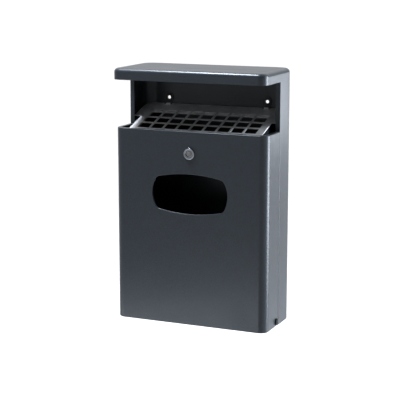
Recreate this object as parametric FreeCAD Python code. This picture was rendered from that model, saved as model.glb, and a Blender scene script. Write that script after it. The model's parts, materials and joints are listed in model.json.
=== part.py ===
import FreeCAD, Part
import math
import os

# A wall-mounted litter bin with an ash grid under its canopy, in millimetres.
# X runs to the right, Y into the wall and Z up. The wall is the plane Y = 0. Heights below are
# counted from the underside, and save() moves the origin to the middle of the four wall holes.

V = FreeCAD.Vector
ZERO = V(0, 0, 0)
TO_X = V(1, 0, 0)
TO_Y = V(0, 1, 0)
TO_Z = V(0, 0, 1)

# ---- overall sizes ---------------------------------------------------------------------------
WIDTH = 390.0               # across the shell, the cover and the canopy
HEIGHT = 612.0              # underside to the top of the canopy
COVER_DEPTH = 175.0         # wall to the face of the front cover
SEAM_DEPTH = 91.0           # wall to the front edges of the shell's wings
SHEET = 1.5                 # folded steel sheet of the housing
BACK_RADIUS = 33.0          # upright bends beside the wall
FRONT_RADIUS = 21.0         # upright bends at the front
FOLD_RADIUS = 2.5           # outside of a tight fold

# ---- clearances ------------------------------------------------------------------------------
REST_GAP = 0.3              # between a piece and what it rests on or lies beside
SEAM_GAP = 1.5              # between the cover's edges and the shell's
RUNNING = 0.05              # radial, for a pin that turns in its hole
BOLT_PLAY = 0.25            # radial, for a bolt or rivet in its hole
SIDE_PLAY = 2.0             # beside a piece that swings between two others
CUT = 5.0                   # how far a cutting block runs past the sheet
TOUCH = 1e-4                # two edges this near are taken to lie together

# ---- canopy and mouth ------------------------------------------------------------------------
CANOPY_OVERHANG = 15.0      # canopy past the face of the cover
CANOPY_SKIRT = 27.0
CANOPY_ROLL = 10.0          # rolled edge round the canopy's top
CANOPY_FLANGE = 13.0        # inward flanges that bolt the canopy to the shell
MOUTH_HEIGHT = 116.0        # canopy's skirt down to the cover's rim
CANOPY_BOLT_RADIUS = 2.5
CANOPY_BOLT_LENGTH = 8.0
CANOPY_BOLT_INSET = 14.0    # first side bolt behind the wing's front edge
CANOPY_BOLT_STEP = 32.0     # between the two bolts of a side
CANOPY_BACK_BOLT_X = 95.0   # back bolts in from the sides
NUT_HEIGHT_SHARE = 0.8      # of a nut's or head's height to its thread diameter
NUT_WIDTH_SHARE = 1.7       # of a nut's width over flats to its thread diameter

# ---- shell -----------------------------------------------------------------------------------
WING_FLANGE = 11.5          # return flange on each wing's front edge, over the sheet
WALL_HOLE_RADIUS = 4.0
WALL_HOLE_INSET = 65.0      # wall holes in from the sides
WALL_HOLE_TOP = 58.0        # upper holes below the canopy's skirt
WALL_HOLE_FOOT = 67.0       # lower holes above the underside
WASHER_RADIUS = 12.0        # rubber washers on the wall holes
WASHER_BORE = 4.5
WASHER_THICKNESS = 2.0
FLOOR_FRONT_GAP = 3.0       # bottom plate behind the wings' front edges
DRAIN_RADIUS = 5.0
DRAIN_X = 90.0
DRAIN_Y = 48.0

# ---- cover -----------------------------------------------------------------------------------
RIM_FLANGE = 10.0           # inward flange round the cover's top
FOOT_FLANGE = 16.0          # inward hemmed flange round the cover's bottom
OPENING_HALF_WIDTH = 84.5   # to the corners, before the sides bow out
OPENING_HALF_HEIGHT = 38.0
OPENING_BOW_SIDE = 12.0
OPENING_BOW_TOP = 9.8
OPENING_CORNER = 13.0
OPENING_BELOW_RIM = 149.5   # middle of the waste opening
OPENING_LIP = 4.0           # turned-in edge, over the sheet
OPENING_LIP_ROUND = 1.2

# ---- pivots ----------------------------------------------------------------------------------
PIVOT_SETBACK = 14.0        # pivot in front of the wings' edges
PIVOT_BOLT_RADIUS = 3.0
PIVOT_HEAD_RADIUS = 8.0
PIVOT_HEAD_HEIGHT = 5.0
PIVOT_NUT_HEIGHT = 4.0
PIVOT_NUT_WIDTH = 10.0
LUG_RADIUS = 11.0
LUG_LENGTH = 50.0           # pivot to the lug's back end
LUG_JOGGLE = 7.0            # start of the joggle behind the wing's front edge
BUSH_WALL = 2.0
BUSH_FLANGE_RADIUS = 8.0
BUSH_PLAY = 0.15            # either side of the bush's flange
TILT_DEGREES = 40.0

# ---- tray and its stays ----------------------------------------------------------------------
TRAY_BACK_GAP = 10.5        # tray's back edge to the back wall
TRAY_UPSTAND = 17.0
TRAY_CORNER = 8.0
TRAY_LUG_GAP = 4.0          # tray's step in front of the lug's nose
STAY_RADIUS = 75.0          # pivot to the stop stud
STAY_ANGLE = 60.0           # of the stud, up from the line towards the wall
STAY_HALF_BAND = 12.0
STAY_MARGIN_DEGREES = 8.0   # sheet past each end of the slot
STUD_RADIUS = 3.0
STUD_FOOT_RADIUS = 6.0
STUD_FOOT_HEIGHT = 1.5
STUD_WASHER_RADIUS = 6.5
STUD_WASHER_THICKNESS = 1.0
STUD_NUT_HEIGHT = 4.0
STUD_NUT_WIDTH = 10.0
RIVET_RADIUS = 2.0
RIVET_HEAD_RADIUS = 3.6
RIVET_HEAD_HEIGHT = 1.3

# ---- lock ------------------------------------------------------------------------------------
LOCK_BELOW_RIM = 52.0
LOCK_HEAD_RADIUS = 14.0
LOCK_HEAD_HEIGHT = 3.5
LOCK_HEAD_ROUND = 1.4
LOCK_RECESS_RADIUS = 8.2
LOCK_RECESS_DEPTH = 2.5
LOCK_BARREL_RADIUS = 9.5
LOCK_BORE_RADIUS = 6.0
LOCK_NUT_HEIGHT = 6.0
LOCK_NUT_WIDTH = 25.0
LOCK_WASHER_RADIUS = 15.0
LOCK_WASHER_THICKNESS = 1.0
KEY_SIDE = 9.5              # three-sided core that the key fits over
KEY_ROUND = 1.0
KEY_HEIGHT = 1.4
KEY_DIMPLE_RADIUS = 1.3
SPINDLE_COLLAR_RADIUS = 7.6
SPINDLE_COLLAR_HEIGHT = 0.8
SPINDLE_SQUARE = 7.0
CAM_WIDTH = 16.0
CAM_REACH = 38.0
CAM_THICKNESS = 2.0
CAM_GAP = 0.8               # cam behind the keeper when the cover is shut
CAM_SCREW_RADIUS = 2.5
CAM_SCREW_LENGTH = 10.0
CAM_SCREW_HEAD_RADIUS = 4.5
CAM_SCREW_HEAD_HEIGHT = 3.0

# ---- cradle and ash pan ----------------------------------------------------------------------
CRADLE_BELOW_RIM = 41.0
CRADLE_SIDE_GAP = 13.5      # cradle's sides in from the wings' return flanges
CRADLE_FRONT_GAP = 21.5     # cradle's front behind the inside of the cover
CRADLE_BACK_HEIGHT = 40.0
CRADLE_SIDE_BACK = 10.0     # cradle's sides end short of the shell's back
CRADLE_BACK_INSET = 12.0    # back wall's ends in from the shell's bends
KEEPER_DROP = 28.0
KEEPER_HALF_WIDTH = 55.0
KEEPER_NOTCH = 22.0         # half the gap that lets the cam through
REST_TAB_GAP = 6.0          # between the keeper and the tabs folded up beside it
CRADLE_RIVET_X = 60.0
CRADLE_RIVET_DROP = 10.0    # rivets below the top of the cradle's back wall
CRADLE_RIVET_STEP = 80.0
ARM_FRONT = 10.0            # arms behind the wings' front edges
ARM_LENGTH = 40.0
ARM_DROP = 8.0              # arms above the cradle's floor
ARM_LEG = 15.0
PAN_SHEET = 1.0
PAN_SIDE_GAP = 2.5
PAN_FRONT_GAP = 2.5
PAN_BACK_GAP = 20.5
PAN_TOP_GAP = 4.0           # pan's edge below the grid
PAN_CORNER = 8.0
BUFFER_X = 110.0
BUFFER_RISE = 12.0          # above the cradle's floor
BUFFER_RADIUS = 7.0
BUFFER_TIP_RADIUS = 4.5
BUFFER_ROUND = 1.5

# ---- ash grid --------------------------------------------------------------------------------
GRID_SHEET = 2.0
GRID_SLOPE = 18.5           # degrees, down to the front
GRID_BELOW_RIM = 6.3        # grid's front edge
GRID_BACK_GAP = 4.5         # grid's back edge to the back wall
GRID_BAND_GAP = 4.5         # grid's wide band to the wings
GRID_BAND_DEPTH = 79.0      # wide band, measured down the slope
GRID_LIP = 10.0
GRID_CORNER = 3.0
GRID_COLUMNS = 9
GRID_ROWS = 3
GRID_BORDER = 18.0          # sheet beside the outer columns
GRID_BAR = 4.8
GRID_ROW_PITCH = 31.2
GRID_FIRST_ROW = 52.1       # down the slope to the first full row
GRID_SLIT = 6.5
GRID_HOLE_ROUND = 1.0
LIFT_DEGREES = 50.0
HINGE_X = 130.0             # grid hinges either side of the middle
HINGE_INSET = 3.2           # hinge axis in from the grid's back edge
KNUCKLE_RADIUS = 3.0
KNUCKLE_LENGTH = 12.4
HINGE_PIN_RADIUS = 1.5
HINGE_PIN_HEAD = 2.5
HINGE_SIDE_GAP = 0.2
CHEEK_RADIUS = 3.5
CHEEK_SLOT_PLAY = 0.6
BRACKET_DROP = 15.0         # bracket's foot below the hinge axis
BRACKET_RIVET_RADIUS = 1.6
BRACKET_RIVET_HEAD = 3.0

# ---- liner and its handle --------------------------------------------------------------------
LINER_SHEET = 1.0
LINER_SIDE_GAP = 10.0       # to the tray's upstands
LINER_FRONT_GAP = 17.5      # to the inside of the cover
LINER_BACK_GAP = 18.5       # to the back wall
LINER_BELOW_OPENING = 42.0  # rim below the waste opening's lower edge
LINER_CORNER = 20.0
LINER_FOOT_ROUND = 5.0
BEAD_WIDTH = 4.0
BEAD_HEIGHT = 5.0
BEAD_ROUND = 1.9
EAR_SHEET = 2.0
EAR_STANDOFF = 2.6
EAR_HALF_WIDTH = 11.0
EAR_FOOT = 14.0
EAR_JOGGLE = 4.0
EAR_HOLE_DROP = 15.0        # handle's pivot below the rim
EAR_TOP_DROP = 7.0          # ear's top below the rim
EAR_FOOT_DROP = 40.0        # ear's foot below the rim
EAR_RIVET_SPACING = 12.0
WIRE_RADIUS = 2.0
WIRE_BEND = 10.0
WIRE_ARM_GAP = 1.5          # arm outside the ear
GRIP_RADIUS = 4.0
GRIP_LENGTH = 90.0
HANDLE_PASS = 0.5           # grip past the rim's bead as it swings

# ---- places worked out from those sizes ------------------------------------------------------
HALF = WIDTH / 2
INSIDE = HALF - SHEET                                   # inner face of wings and cover sides
SKIRT_Z = HEIGHT - CANOPY_SKIRT
RIM_Z = SKIRT_Z - MOUTH_HEIGHT
CANOPY_DEPTH = COVER_DEPTH + CANOPY_OVERHANG
COVER_INSIDE_Y = SHEET - COVER_DEPTH                    # inner face of the cover's front
COVER_EDGE_Y = -SEAM_DEPTH - SEAM_GAP                   # back edges of the cover
WING_TIP_X = HALF - WING_FLANGE
WALL_HOLE_X = HALF - WALL_HOLE_INSET
WALL_HOLE_HIGH = SKIRT_Z - WALL_HOLE_TOP
ORIGIN_Z = (WALL_HOLE_HIGH + WALL_HOLE_FOOT) / 2
OPENING_Z = RIM_Z - OPENING_BELOW_RIM
LOCK_Z = RIM_Z - LOCK_BELOW_RIM
PIVOT_Y = -SEAM_DEPTH - PIVOT_SETBACK
PIVOT_HEIGHT = SHEET + LUG_RADIUS                       # lugs stand on the bottom plate
LUG_OUTSIDE = INSIDE - SHEET                            # outer face of the lug beside the cover
HEM = 2 * SHEET
TRAY_HALF = WING_TIP_X - SIDE_PLAY
TRAY_STEP_Y = PIVOT_Y - LUG_RADIUS - TRAY_LUG_GAP
TRAY_BACK_Y = -SHEET - TRAY_BACK_GAP
TRAY_TOP = HEM + SHEET
STUD_Y = PIVOT_Y + STAY_RADIUS * math.cos(math.radians(STAY_ANGLE))
STUD_Z = PIVOT_HEIGHT + STAY_RADIUS * math.sin(math.radians(STAY_ANGLE))
CRADLE_Z = RIM_Z - CRADLE_BELOW_RIM
CRADLE_HALF = WING_TIP_X - CRADLE_SIDE_GAP
CRADLE_FRONT_Y = COVER_INSIDE_Y + CRADLE_FRONT_GAP
CAM_FRONT_Y = CRADLE_FRONT_Y + SHEET + CAM_GAP
SLOPE = math.radians(GRID_SLOPE)
GRID_BACK_Y = -SHEET - GRID_BACK_GAP
# The lip under the grid's front edge stands on the cradle's tabs, so its foot is over them.
GRID_FRONT_Y = CRADLE_FRONT_Y + SHEET / 2 - GRID_LIP * math.sin(SLOPE) - GRID_SHEET / 2 * math.cos(SLOPE)
GRID_FRONT_Z = RIM_Z - GRID_BELOW_RIM
GRID_LENGTH = (GRID_BACK_Y - GRID_FRONT_Y) / math.cos(SLOPE)
GRID_BACK_Z = GRID_FRONT_Z + GRID_LENGTH * math.sin(SLOPE)
HINGE_DROP = GRID_SHEET / 2                             # hinge axis below the grid's top face
HINGE_Y = GRID_BACK_Y - HINGE_INSET * math.cos(SLOPE) + HINGE_DROP * math.sin(SLOPE)
HINGE_Z = GRID_BACK_Z - HINGE_INSET * math.sin(SLOPE) - HINGE_DROP * math.cos(SLOPE)
LINER_HALF = TRAY_HALF - SHEET - LINER_SIDE_GAP
LINER_FRONT_Y = COVER_INSIDE_Y + LINER_FRONT_GAP
LINER_BACK_Y = -SHEET - LINER_BACK_GAP
LINER_FOOT_Z = TRAY_TOP + REST_GAP
LINER_RIM_Z = OPENING_Z - OPENING_HALF_HEIGHT - OPENING_BOW_TOP - LINER_BELOW_OPENING
HANDLE_Y = (LINER_FRONT_Y + LINER_BACK_Y) / 2
HANDLE_Z = LINER_RIM_Z - EAR_HOLE_DROP
LINER_HALF_DEPTH = (LINER_BACK_Y - LINER_FRONT_Y) / 2
# The handle's arm is just long enough for its grip to pass the rim's bead.
HANDLE_ARM = math.hypot(LINER_HALF_DEPTH + BEAD_WIDTH + GRIP_RADIUS + HANDLE_PASS, EAR_HOLE_DROP)
HANDLE_DROOP = math.acos((LINER_HALF_DEPTH + GRIP_RADIUS + REST_GAP) / HANDLE_ARM)


# ---- outlines and prisms ---------------------------------------------------------------------
def rounded_corner(before, corner, after, radius):
    """Start, middle and end of the arc that rounds one corner of an outline."""
    to_before = (before - corner).normalize()
    to_after = (after - corner).normalize()
    half_angle = to_before.getAngle(to_after) / 2
    run = radius / math.tan(half_angle)
    bisector = (to_before + to_after).normalize()
    centre = corner + bisector * (radius / math.sin(half_angle))
    return corner + to_before * run, centre - bisector * radius, corner + to_after * run


def outline(points):
    """A face in the XY plane from corners given as (x, y, radius)."""
    corners = [V(x, y, 0) for x, y, _ in points]
    stations = []
    for index, (_, _, radius) in enumerate(points):
        corner = corners[index]
        if radius:
            after = corners[(index + 1) % len(corners)]
            stations.append(rounded_corner(corners[index - 1], corner, after, radius))
        else:
            stations.append((corner, None, corner))
    edges = []
    for index, (start, middle, end) in enumerate(stations):
        if middle:
            edges.append(Part.Arc(start, middle, end).toShape())
        following = stations[(index + 1) % len(stations)][0]
        if end.distanceToPoint(following) > TOUCH:
            edges.append(Part.LineSegment(end, following).toShape())
    return Part.Face(Part.Wire(edges))


def moved_sideways(path, distance):
    """The corners of an open bent path, moved to the left of its direction of travel."""
    points = [V(x, y, 0) for x, y, _ in path]
    steps = [(points[i + 1] - points[i]).normalize() for i in range(len(points) - 1)]
    result = []
    for index, point in enumerate(points):
        before = steps[max(index - 1, 0)]
        after = steps[min(index, len(steps) - 1)]
        normals = V(-before.y, before.x, 0) + V(-after.y, after.x, 0)
        shift = normals * (distance / (1 + before.dot(after)))
        turn = before.cross(after).z
        side = (turn > 0) - (turn < 0)
        radius = path[index][2]
        result.append((point.x + shift.x, point.y + shift.y, radius - side * distance if radius else 0))
    return result


def bent_strip(path, thickness):
    """The section of a bent sheet: path is its middle line as (x, y, bend radius)."""
    left = moved_sideways(path, thickness / 2)
    right = moved_sideways(path, -thickness / 2)
    return outline(left + right[::-1])


def prism_z(face, low, high):
    """An outline in X and Y, drawn out from z = low to z = high."""
    return face.extrude(TO_Z * (high - low)).translated(TO_Z * low)


def prism_x(face, low, high):
    """An outline whose corners are (y, z), drawn out from x = low to x = high."""
    solid = face.extrude(TO_Z * (high - low))
    solid.Placement = FreeCAD.Placement(TO_X * low, FreeCAD.Rotation(TO_Y, TO_Z, TO_X, "XYZ"))
    return solid


def prism_y(face, low, high):
    """An outline whose corners are (x, z), drawn out from y = low to y = high."""
    solid = face.extrude(TO_Z * (high - low))
    solid.Placement = FreeCAD.Placement(TO_Y * high, FreeCAD.Rotation(TO_X, TO_Z, -TO_Y, "XYZ"))
    return solid


def block(low, high):
    """A box between two corners."""
    size = V(*high) - V(*low)
    return Part.makeBox(size.x, size.y, size.z, V(*low))


def plan_block(half, front, back, low, high, front_radius, back_radius):
    """A block as wide as 2 x half, with its upright edges rounded."""
    corners = [
        (half, front, front_radius),
        (half, back, back_radius),
        (-half, back, back_radius),
        (-half, front, front_radius),
    ]
    return prism_z(outline(corners), low, high)


def rod(start, end, radius):
    """A cylinder between two points."""
    return Part.makeCylinder(radius, (V(*end) - V(*start)).Length, V(*start), V(*end) - V(*start))


def cone(start, end, start_radius, end_radius):
    """A cone's frustum between two points."""
    length = (V(*end) - V(*start)).Length
    return Part.makeCone(start_radius, end_radius, length, V(*start), V(*end) - V(*start))


def hex_block(start, end, width):
    """A hexagonal bar between two points, given its width over flats."""
    corner_radius = width / math.sqrt(3)
    corners = []
    for index in range(6):
        angle = math.radians(60 * index)
        corners.append((corner_radius * math.cos(angle), corner_radius * math.sin(angle), 0))
    axis = V(*end) - V(*start)
    solid = outline(corners).extrude(TO_Z * axis.Length)
    solid.Placement = FreeCAD.Placement(V(*start), FreeCAD.Rotation(TO_Z, axis))
    return solid


def rounded(solid, radius, chosen):
    """Round the edges of a solid that the test picks out."""
    return solid.makeFillet(radius, [edge for edge in solid.Edges if chosen(edge)])


def mirrored(shape):
    """The same piece on the other side."""
    return shape.mirror(ZERO, TO_X)


def both_sides(solids):
    """A group of solids and their twins on the other side."""
    return Part.makeCompound(solids + [mirrored(solid) for solid in solids])


def lies_at(edge, z):
    """Whether an edge lies flat at one height."""
    box = edge.BoundBox
    return abs(box.ZMin - z) < TOUCH and abs(box.ZMax - z) < TOUCH


# ---- shell and canopy ------------------------------------------------------------------------
def wall_hole_places():
    """The four wall holes, as (x, z)."""
    return [(x, z) for x in (-WALL_HOLE_X, WALL_HOLE_X) for z in (WALL_HOLE_FOOT, WALL_HOLE_HIGH)]


def canopy_bolt_places():
    """The bolts through the flanges of shell and canopy, as (x, y)."""
    flange_middle = SHEET + CANOPY_FLANGE / 2
    side_x = HALF - flange_middle
    first = CANOPY_BOLT_INSET - SEAM_DEPTH
    places = []
    for side in (-1, 1):
        places.append((side * side_x, first))
        places.append((side * side_x, first + CANOPY_BOLT_STEP))
        places.append((side * (HALF - CANOPY_BACK_BOLT_X), -flange_middle))
    return places


def back_wall_rivets():
    """Rivets through the shell's back, as (x, z, radius)."""
    cradle_z = CRADLE_Z + CRADLE_BACK_HEIGHT - CRADLE_RIVET_DROP
    places = []
    for x in (CRADLE_RIVET_X, CRADLE_RIVET_X + CRADLE_RIVET_STEP):
        places.append((x, cradle_z, RIVET_RADIUS))
    for x in bracket_rivet_xs():
        places.append((x, bracket_rivet_z(), BRACKET_RIVET_RADIUS))
    return places + [(-x, z, radius) for x, z, radius in places]


def rear_shell():
    """The back and both wings: one sheet with return flanges at the front and a top flange."""
    middle_x = HALF - SHEET / 2
    front_y = SHEET / 2 - SEAM_DEPTH
    tight = FOLD_RADIUS - SHEET / 2
    wide = BACK_RADIUS - SHEET / 2
    path = [
        (WING_TIP_X, front_y, 0),
        (middle_x, front_y, tight),
        (middle_x, -SHEET / 2, wide),
        (-middle_x, -SHEET / 2, wide),
        (-middle_x, front_y, tight),
        (-WING_TIP_X, front_y, 0),
    ]
    shell = prism_z(bent_strip(path, SHEET), 0, SKIRT_Z)
    flange_low = SKIRT_Z - SHEET
    inner = HALF - SHEET - CANOPY_FLANGE
    inner_back = -SHEET - CANOPY_FLANGE
    top = plan_block(HALF, -SEAM_DEPTH, 0, flange_low, SKIRT_Z, FOLD_RADIUS, BACK_RADIUS)
    hollow_radius = BACK_RADIUS - SHEET - CANOPY_FLANGE
    hollow = plan_block(inner, -SEAM_DEPTH - CUT, inner_back, flange_low, SKIRT_Z, 0, hollow_radius)
    shell = shell.fuse(top.cut(hollow))
    notch_top = PIVOT_HEIGHT + LUG_RADIUS + SIDE_PLAY
    notch = block((WING_TIP_X - CUT, -SEAM_DEPTH - CUT, -CUT), (INSIDE, SHEET - SEAM_DEPTH, notch_top))
    cuts = [notch, mirrored(notch)]
    for x, z in wall_hole_places():
        cuts.append(rod((x, -CUT, z), (x, CUT, z), WALL_HOLE_RADIUS))
    for x, z, radius in back_wall_rivets():
        cuts.append(rod((x, -CUT, z), (x, CUT, z), radius + RUNNING))
    for x, y in canopy_bolt_places():
        cuts.append(rod((x, y, flange_low - CUT), (x, y, SKIRT_Z + CUT), CANOPY_BOLT_RADIUS + BOLT_PLAY))
    return shell.cut(cuts).removeSplitter()


def canopy():
    """The hood: a flat top with rolled edges, a skirt and an inward flange below it."""
    top = HEIGHT
    outer = plan_block(HALF, -CANOPY_DEPTH, 0, SKIRT_Z, top, FRONT_RADIUS, BACK_RADIUS)
    outer = rounded(outer, CANOPY_ROLL, lambda edge: lies_at(edge, top))
    ceiling = top - SHEET
    hollow = plan_block(INSIDE, SHEET - CANOPY_DEPTH, -SHEET, SKIRT_Z + SHEET, ceiling,
                        FRONT_RADIUS - SHEET, BACK_RADIUS - SHEET)
    hollow = rounded(hollow, CANOPY_ROLL - SHEET, lambda edge: lies_at(edge, ceiling))
    inset = SHEET + CANOPY_FLANGE
    mouth = plan_block(HALF - inset, inset - CANOPY_DEPTH, -inset, SKIRT_Z - CUT, SKIRT_Z + CUT,
                       FRONT_RADIUS - inset, BACK_RADIUS - inset)
    holes = []
    for x, y in canopy_bolt_places():
        holes.append(rod((x, y, SKIRT_Z - CUT), (x, y, SKIRT_Z + CUT), CANOPY_BOLT_RADIUS + BOLT_PLAY))
    return outer.cut([hollow, mouth] + holes).removeSplitter()


def canopy_bolts():
    """Hexagon bolts pushed up through both flanges, heads below."""
    head_height = CANOPY_BOLT_RADIUS * 2 * NUT_HEIGHT_SHARE
    head_width = CANOPY_BOLT_RADIUS * 2 * NUT_WIDTH_SHARE
    seat = SKIRT_Z - SHEET
    bolts = []
    for x, y in canopy_bolt_places():
        head = hex_block((x, y, seat - head_height), (x, y, seat), head_width)
        bolts.append(head.fuse(rod((x, y, seat), (x, y, seat + CANOPY_BOLT_LENGTH), CANOPY_BOLT_RADIUS)))
    return Part.makeCompound(bolts)


def canopy_nuts():
    """Nuts on the canopy's flange."""
    height = CANOPY_BOLT_RADIUS * 2 * NUT_HEIGHT_SHARE
    width = CANOPY_BOLT_RADIUS * 2 * NUT_WIDTH_SHARE
    seat = SKIRT_Z + SHEET
    nuts = []
    for x, y in canopy_bolt_places():
        nut = hex_block((x, y, seat), (x, y, seat + height), width)
        nuts.append(nut.cut(rod((x, y, seat - CUT), (x, y, seat + CUT), CANOPY_BOLT_RADIUS + RUNNING)))
    return Part.makeCompound(nuts)


def bottom_plate():
    """The shell's floor, welded in between the wings, with two drain holes."""
    half = INSIDE - REST_GAP
    front = FLOOR_FRONT_GAP + SHEET - SEAM_DEPTH
    back_radius = BACK_RADIUS - SHEET - REST_GAP
    plate = plan_block(half, front, -SHEET - REST_GAP, 0, SHEET, 0, back_radius)
    drains = [rod((x, -DRAIN_Y, -CUT), (x, -DRAIN_Y, CUT), DRAIN_RADIUS) for x in (-DRAIN_X, DRAIN_X)]
    return plate.cut(drains)


def wall_washers():
    """Rubber washers inside the shell, one round each wall hole."""
    washers = []
    for x, z in wall_hole_places():
        back = (x, -SHEET, z)
        ring = rod(back, (x, -SHEET - WASHER_THICKNESS, z), WASHER_RADIUS)
        washers.append(ring.cut(rod((x, CUT, z), (x, -CUT, z), WASHER_BORE)))
    return Part.makeCompound(washers)


# ---- pivots ----------------------------------------------------------------------------------
def pivot_lug():
    """Right-hand lug: welded to the wing, joggled inwards to pass beside the cover."""
    back_y = PIVOT_Y + LUG_LENGTH
    joggle_y = LUG_JOGGLE - SEAM_DEPTH
    low = PIVOT_HEIGHT - LUG_RADIUS
    high = PIVOT_HEIGHT + LUG_RADIUS
    nose_y = PIVOT_Y - LUG_RADIUS
    path = [
        (INSIDE - SHEET / 2, back_y, 0),
        (INSIDE - SHEET / 2, joggle_y, SHEET),
        (LUG_OUTSIDE - SHEET / 2, joggle_y - LUG_JOGGLE, SHEET),
        (LUG_OUTSIDE - SHEET / 2, nose_y, 0),
    ]
    strip = prism_z(bent_strip(path, SHEET), low, high)
    side_view = outline([(back_y, low, 0), (back_y, high, 0),
                         (nose_y, high, LUG_RADIUS), (nose_y, low, LUG_RADIUS)])
    lug = strip.common(prism_x(side_view, 0, HALF))
    hole = rod((0, PIVOT_Y, PIVOT_HEIGHT), (HALF, PIVOT_Y, PIVOT_HEIGHT), PIVOT_BOLT_RADIUS + RUNNING)
    return lug.cut(hole)


def pivot_bolt():
    """Right-hand bolt: a domed black head outside the cover, its shank through bush and lug."""
    seat = HALF + REST_GAP
    tip = LUG_OUTSIDE - SHEET - PIVOT_NUT_HEIGHT - SHEET
    head = rod((seat, PIVOT_Y, PIVOT_HEIGHT), (seat + PIVOT_HEAD_HEIGHT, PIVOT_Y, PIVOT_HEIGHT),
               PIVOT_HEAD_RADIUS)
    outer_x = seat + PIVOT_HEAD_HEIGHT
    head = rounded(head, PIVOT_HEAD_HEIGHT * NUT_HEIGHT_SHARE,
                   lambda edge: edge.BoundBox.XMin > outer_x - TOUCH)
    return head.fuse(rod((seat, PIVOT_Y, PIVOT_HEIGHT), (tip, PIVOT_Y, PIVOT_HEIGHT), PIVOT_BOLT_RADIUS))


def pivot_bush():
    """Right-hand nylon bush: a sleeve in the cover's hole and a flange between cover and lug."""
    flange_in = LUG_OUTSIDE + BUSH_PLAY
    flange_out = INSIDE - BUSH_PLAY
    sleeve_radius = PIVOT_BOLT_RADIUS + RUNNING + BUSH_WALL
    bush = rod((flange_in, PIVOT_Y, PIVOT_HEIGHT), (flange_out, PIVOT_Y, PIVOT_HEIGHT), BUSH_FLANGE_RADIUS)
    bush = bush.fuse(rod((flange_out, PIVOT_Y, PIVOT_HEIGHT), (HALF, PIVOT_Y, PIVOT_HEIGHT), sleeve_radius))
    bore = rod((0, PIVOT_Y, PIVOT_HEIGHT), (HALF + CUT, PIVOT_Y, PIVOT_HEIGHT), PIVOT_BOLT_RADIUS + RUNNING)
    return bush.cut(bore)


def pivot_nut():
    """Right-hand lock nut inside the lug."""
    seat = LUG_OUTSIDE - SHEET
    nut = hex_block((seat, PIVOT_Y, PIVOT_HEIGHT), (seat - PIVOT_NUT_HEIGHT, PIVOT_Y, PIVOT_HEIGHT),
                    PIVOT_NUT_WIDTH)
    hole = rod((0, PIVOT_Y, PIVOT_HEIGHT), (HALF, PIVOT_Y, PIVOT_HEIGHT), PIVOT_BOLT_RADIUS + RUNNING)
    return nut.cut(hole)


# ---- cover -----------------------------------------------------------------------------------
def opening_prism(grow, low, high):
    """The waste opening, four bowed sides with rounded corners, through y = low to high."""
    half_width = OPENING_HALF_WIDTH + grow
    half_height = OPENING_HALF_HEIGHT + grow
    side = half_width + OPENING_BOW_SIDE
    crown = half_height + OPENING_BOW_TOP
    corners = [V(half_width, -half_height, 0), V(half_width, half_height, 0),
               V(-half_width, half_height, 0), V(-half_width, -half_height, 0)]
    middles = [V(side, 0, 0), V(0, crown, 0), V(-side, 0, 0), V(0, -crown, 0)]
    edges = []
    for index, middle in enumerate(middles):
        edges.append(Part.Arc(corners[index], middle, corners[(index + 1) % 4]).toShape())
    solid = prism_y(Part.Face(Part.Wire(edges)), low, high).translated(TO_Z * OPENING_Z)
    depth = high - low
    return rounded(solid, OPENING_CORNER + grow,
                   lambda edge: edge.BoundBox.YLength > depth / 2 and edge.Curve.TypeId == "Part::GeomLine")


def front_cover():
    """The cover: a front and two sides from one sheet, with flanges round its top and bottom."""
    front = -COVER_DEPTH
    outer = plan_block(HALF, front, COVER_EDGE_Y, 0, RIM_Z, FRONT_RADIUS, 0)

    def on_rim(edge):
        box = edge.BoundBox
        return (lies_at(edge, 0) or lies_at(edge, RIM_Z)) and box.YMin < COVER_EDGE_Y - 1
    outer = rounded(outer, FOLD_RADIUS, on_rim)
    hollow = plan_block(INSIDE, COVER_INSIDE_Y, COVER_EDGE_Y + CUT, HEM, RIM_Z - SHEET,
                        FRONT_RADIUS - SHEET, 0)
    rim_hole = plan_block(HALF - RIM_FLANGE, front + RIM_FLANGE, COVER_EDGE_Y + CUT,
                          RIM_Z - CUT, RIM_Z + CUT,
                          FRONT_RADIUS - RIM_FLANGE, 0)
    foot_hole = plan_block(HALF - FOOT_FLANGE, front + FOOT_FLANGE, COVER_EDGE_Y + CUT, -CUT, CUT,
                           FRONT_RADIUS - FOOT_FLANGE, 0)
    beside_lug = block((-INSIDE, TRAY_STEP_Y, -CUT), (INSIDE, COVER_EDGE_Y + CUT, CUT))
    cover = outer.cut([hollow, rim_hole, foot_hole, beside_lug])
    cover = cover.cut(heel_offcuts())
    lip_back = front + OPENING_LIP
    cover = cover.fuse(opening_prism(SHEET, COVER_INSIDE_Y, lip_back))
    cover = cover.cut(opening_prism(0, front - CUT, lip_back + CUT))
    cover = rounded(cover, OPENING_LIP_ROUND, is_opening_front_edge)
    sleeve_radius = PIVOT_BOLT_RADIUS + RUNNING + BUSH_WALL
    holes = [rod((-HALF - CUT, PIVOT_Y, PIVOT_HEIGHT), (HALF + CUT, PIVOT_Y, PIVOT_HEIGHT),
                 sleeve_radius + RUNNING)]
    holes.append(rod((0, front - CUT, LOCK_Z), (0, front + CUT, LOCK_Z), LOCK_BARREL_RADIUS + BOLT_PLAY))
    for x, y in tray_rivet_places():
        holes.append(rod((x, y, -CUT), (x, y, CUT), RIVET_RADIUS + RUNNING))
    return cover.cut(holes).removeSplitter()


def heel_offcuts():
    """What is cut from the cover's lower back corners, so that they turn clear of the shell."""
    heel_radius = COVER_EDGE_Y - PIVOT_Y
    square = block((-HALF - CUT, PIVOT_Y, -CUT), (HALF + CUT, COVER_EDGE_Y + CUT, PIVOT_HEIGHT))
    disc = rod((-HALF - CUT, PIVOT_Y, PIVOT_HEIGHT), (HALF + CUT, PIVOT_Y, PIVOT_HEIGHT), heel_radius)
    return square.cut(disc)


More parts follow.
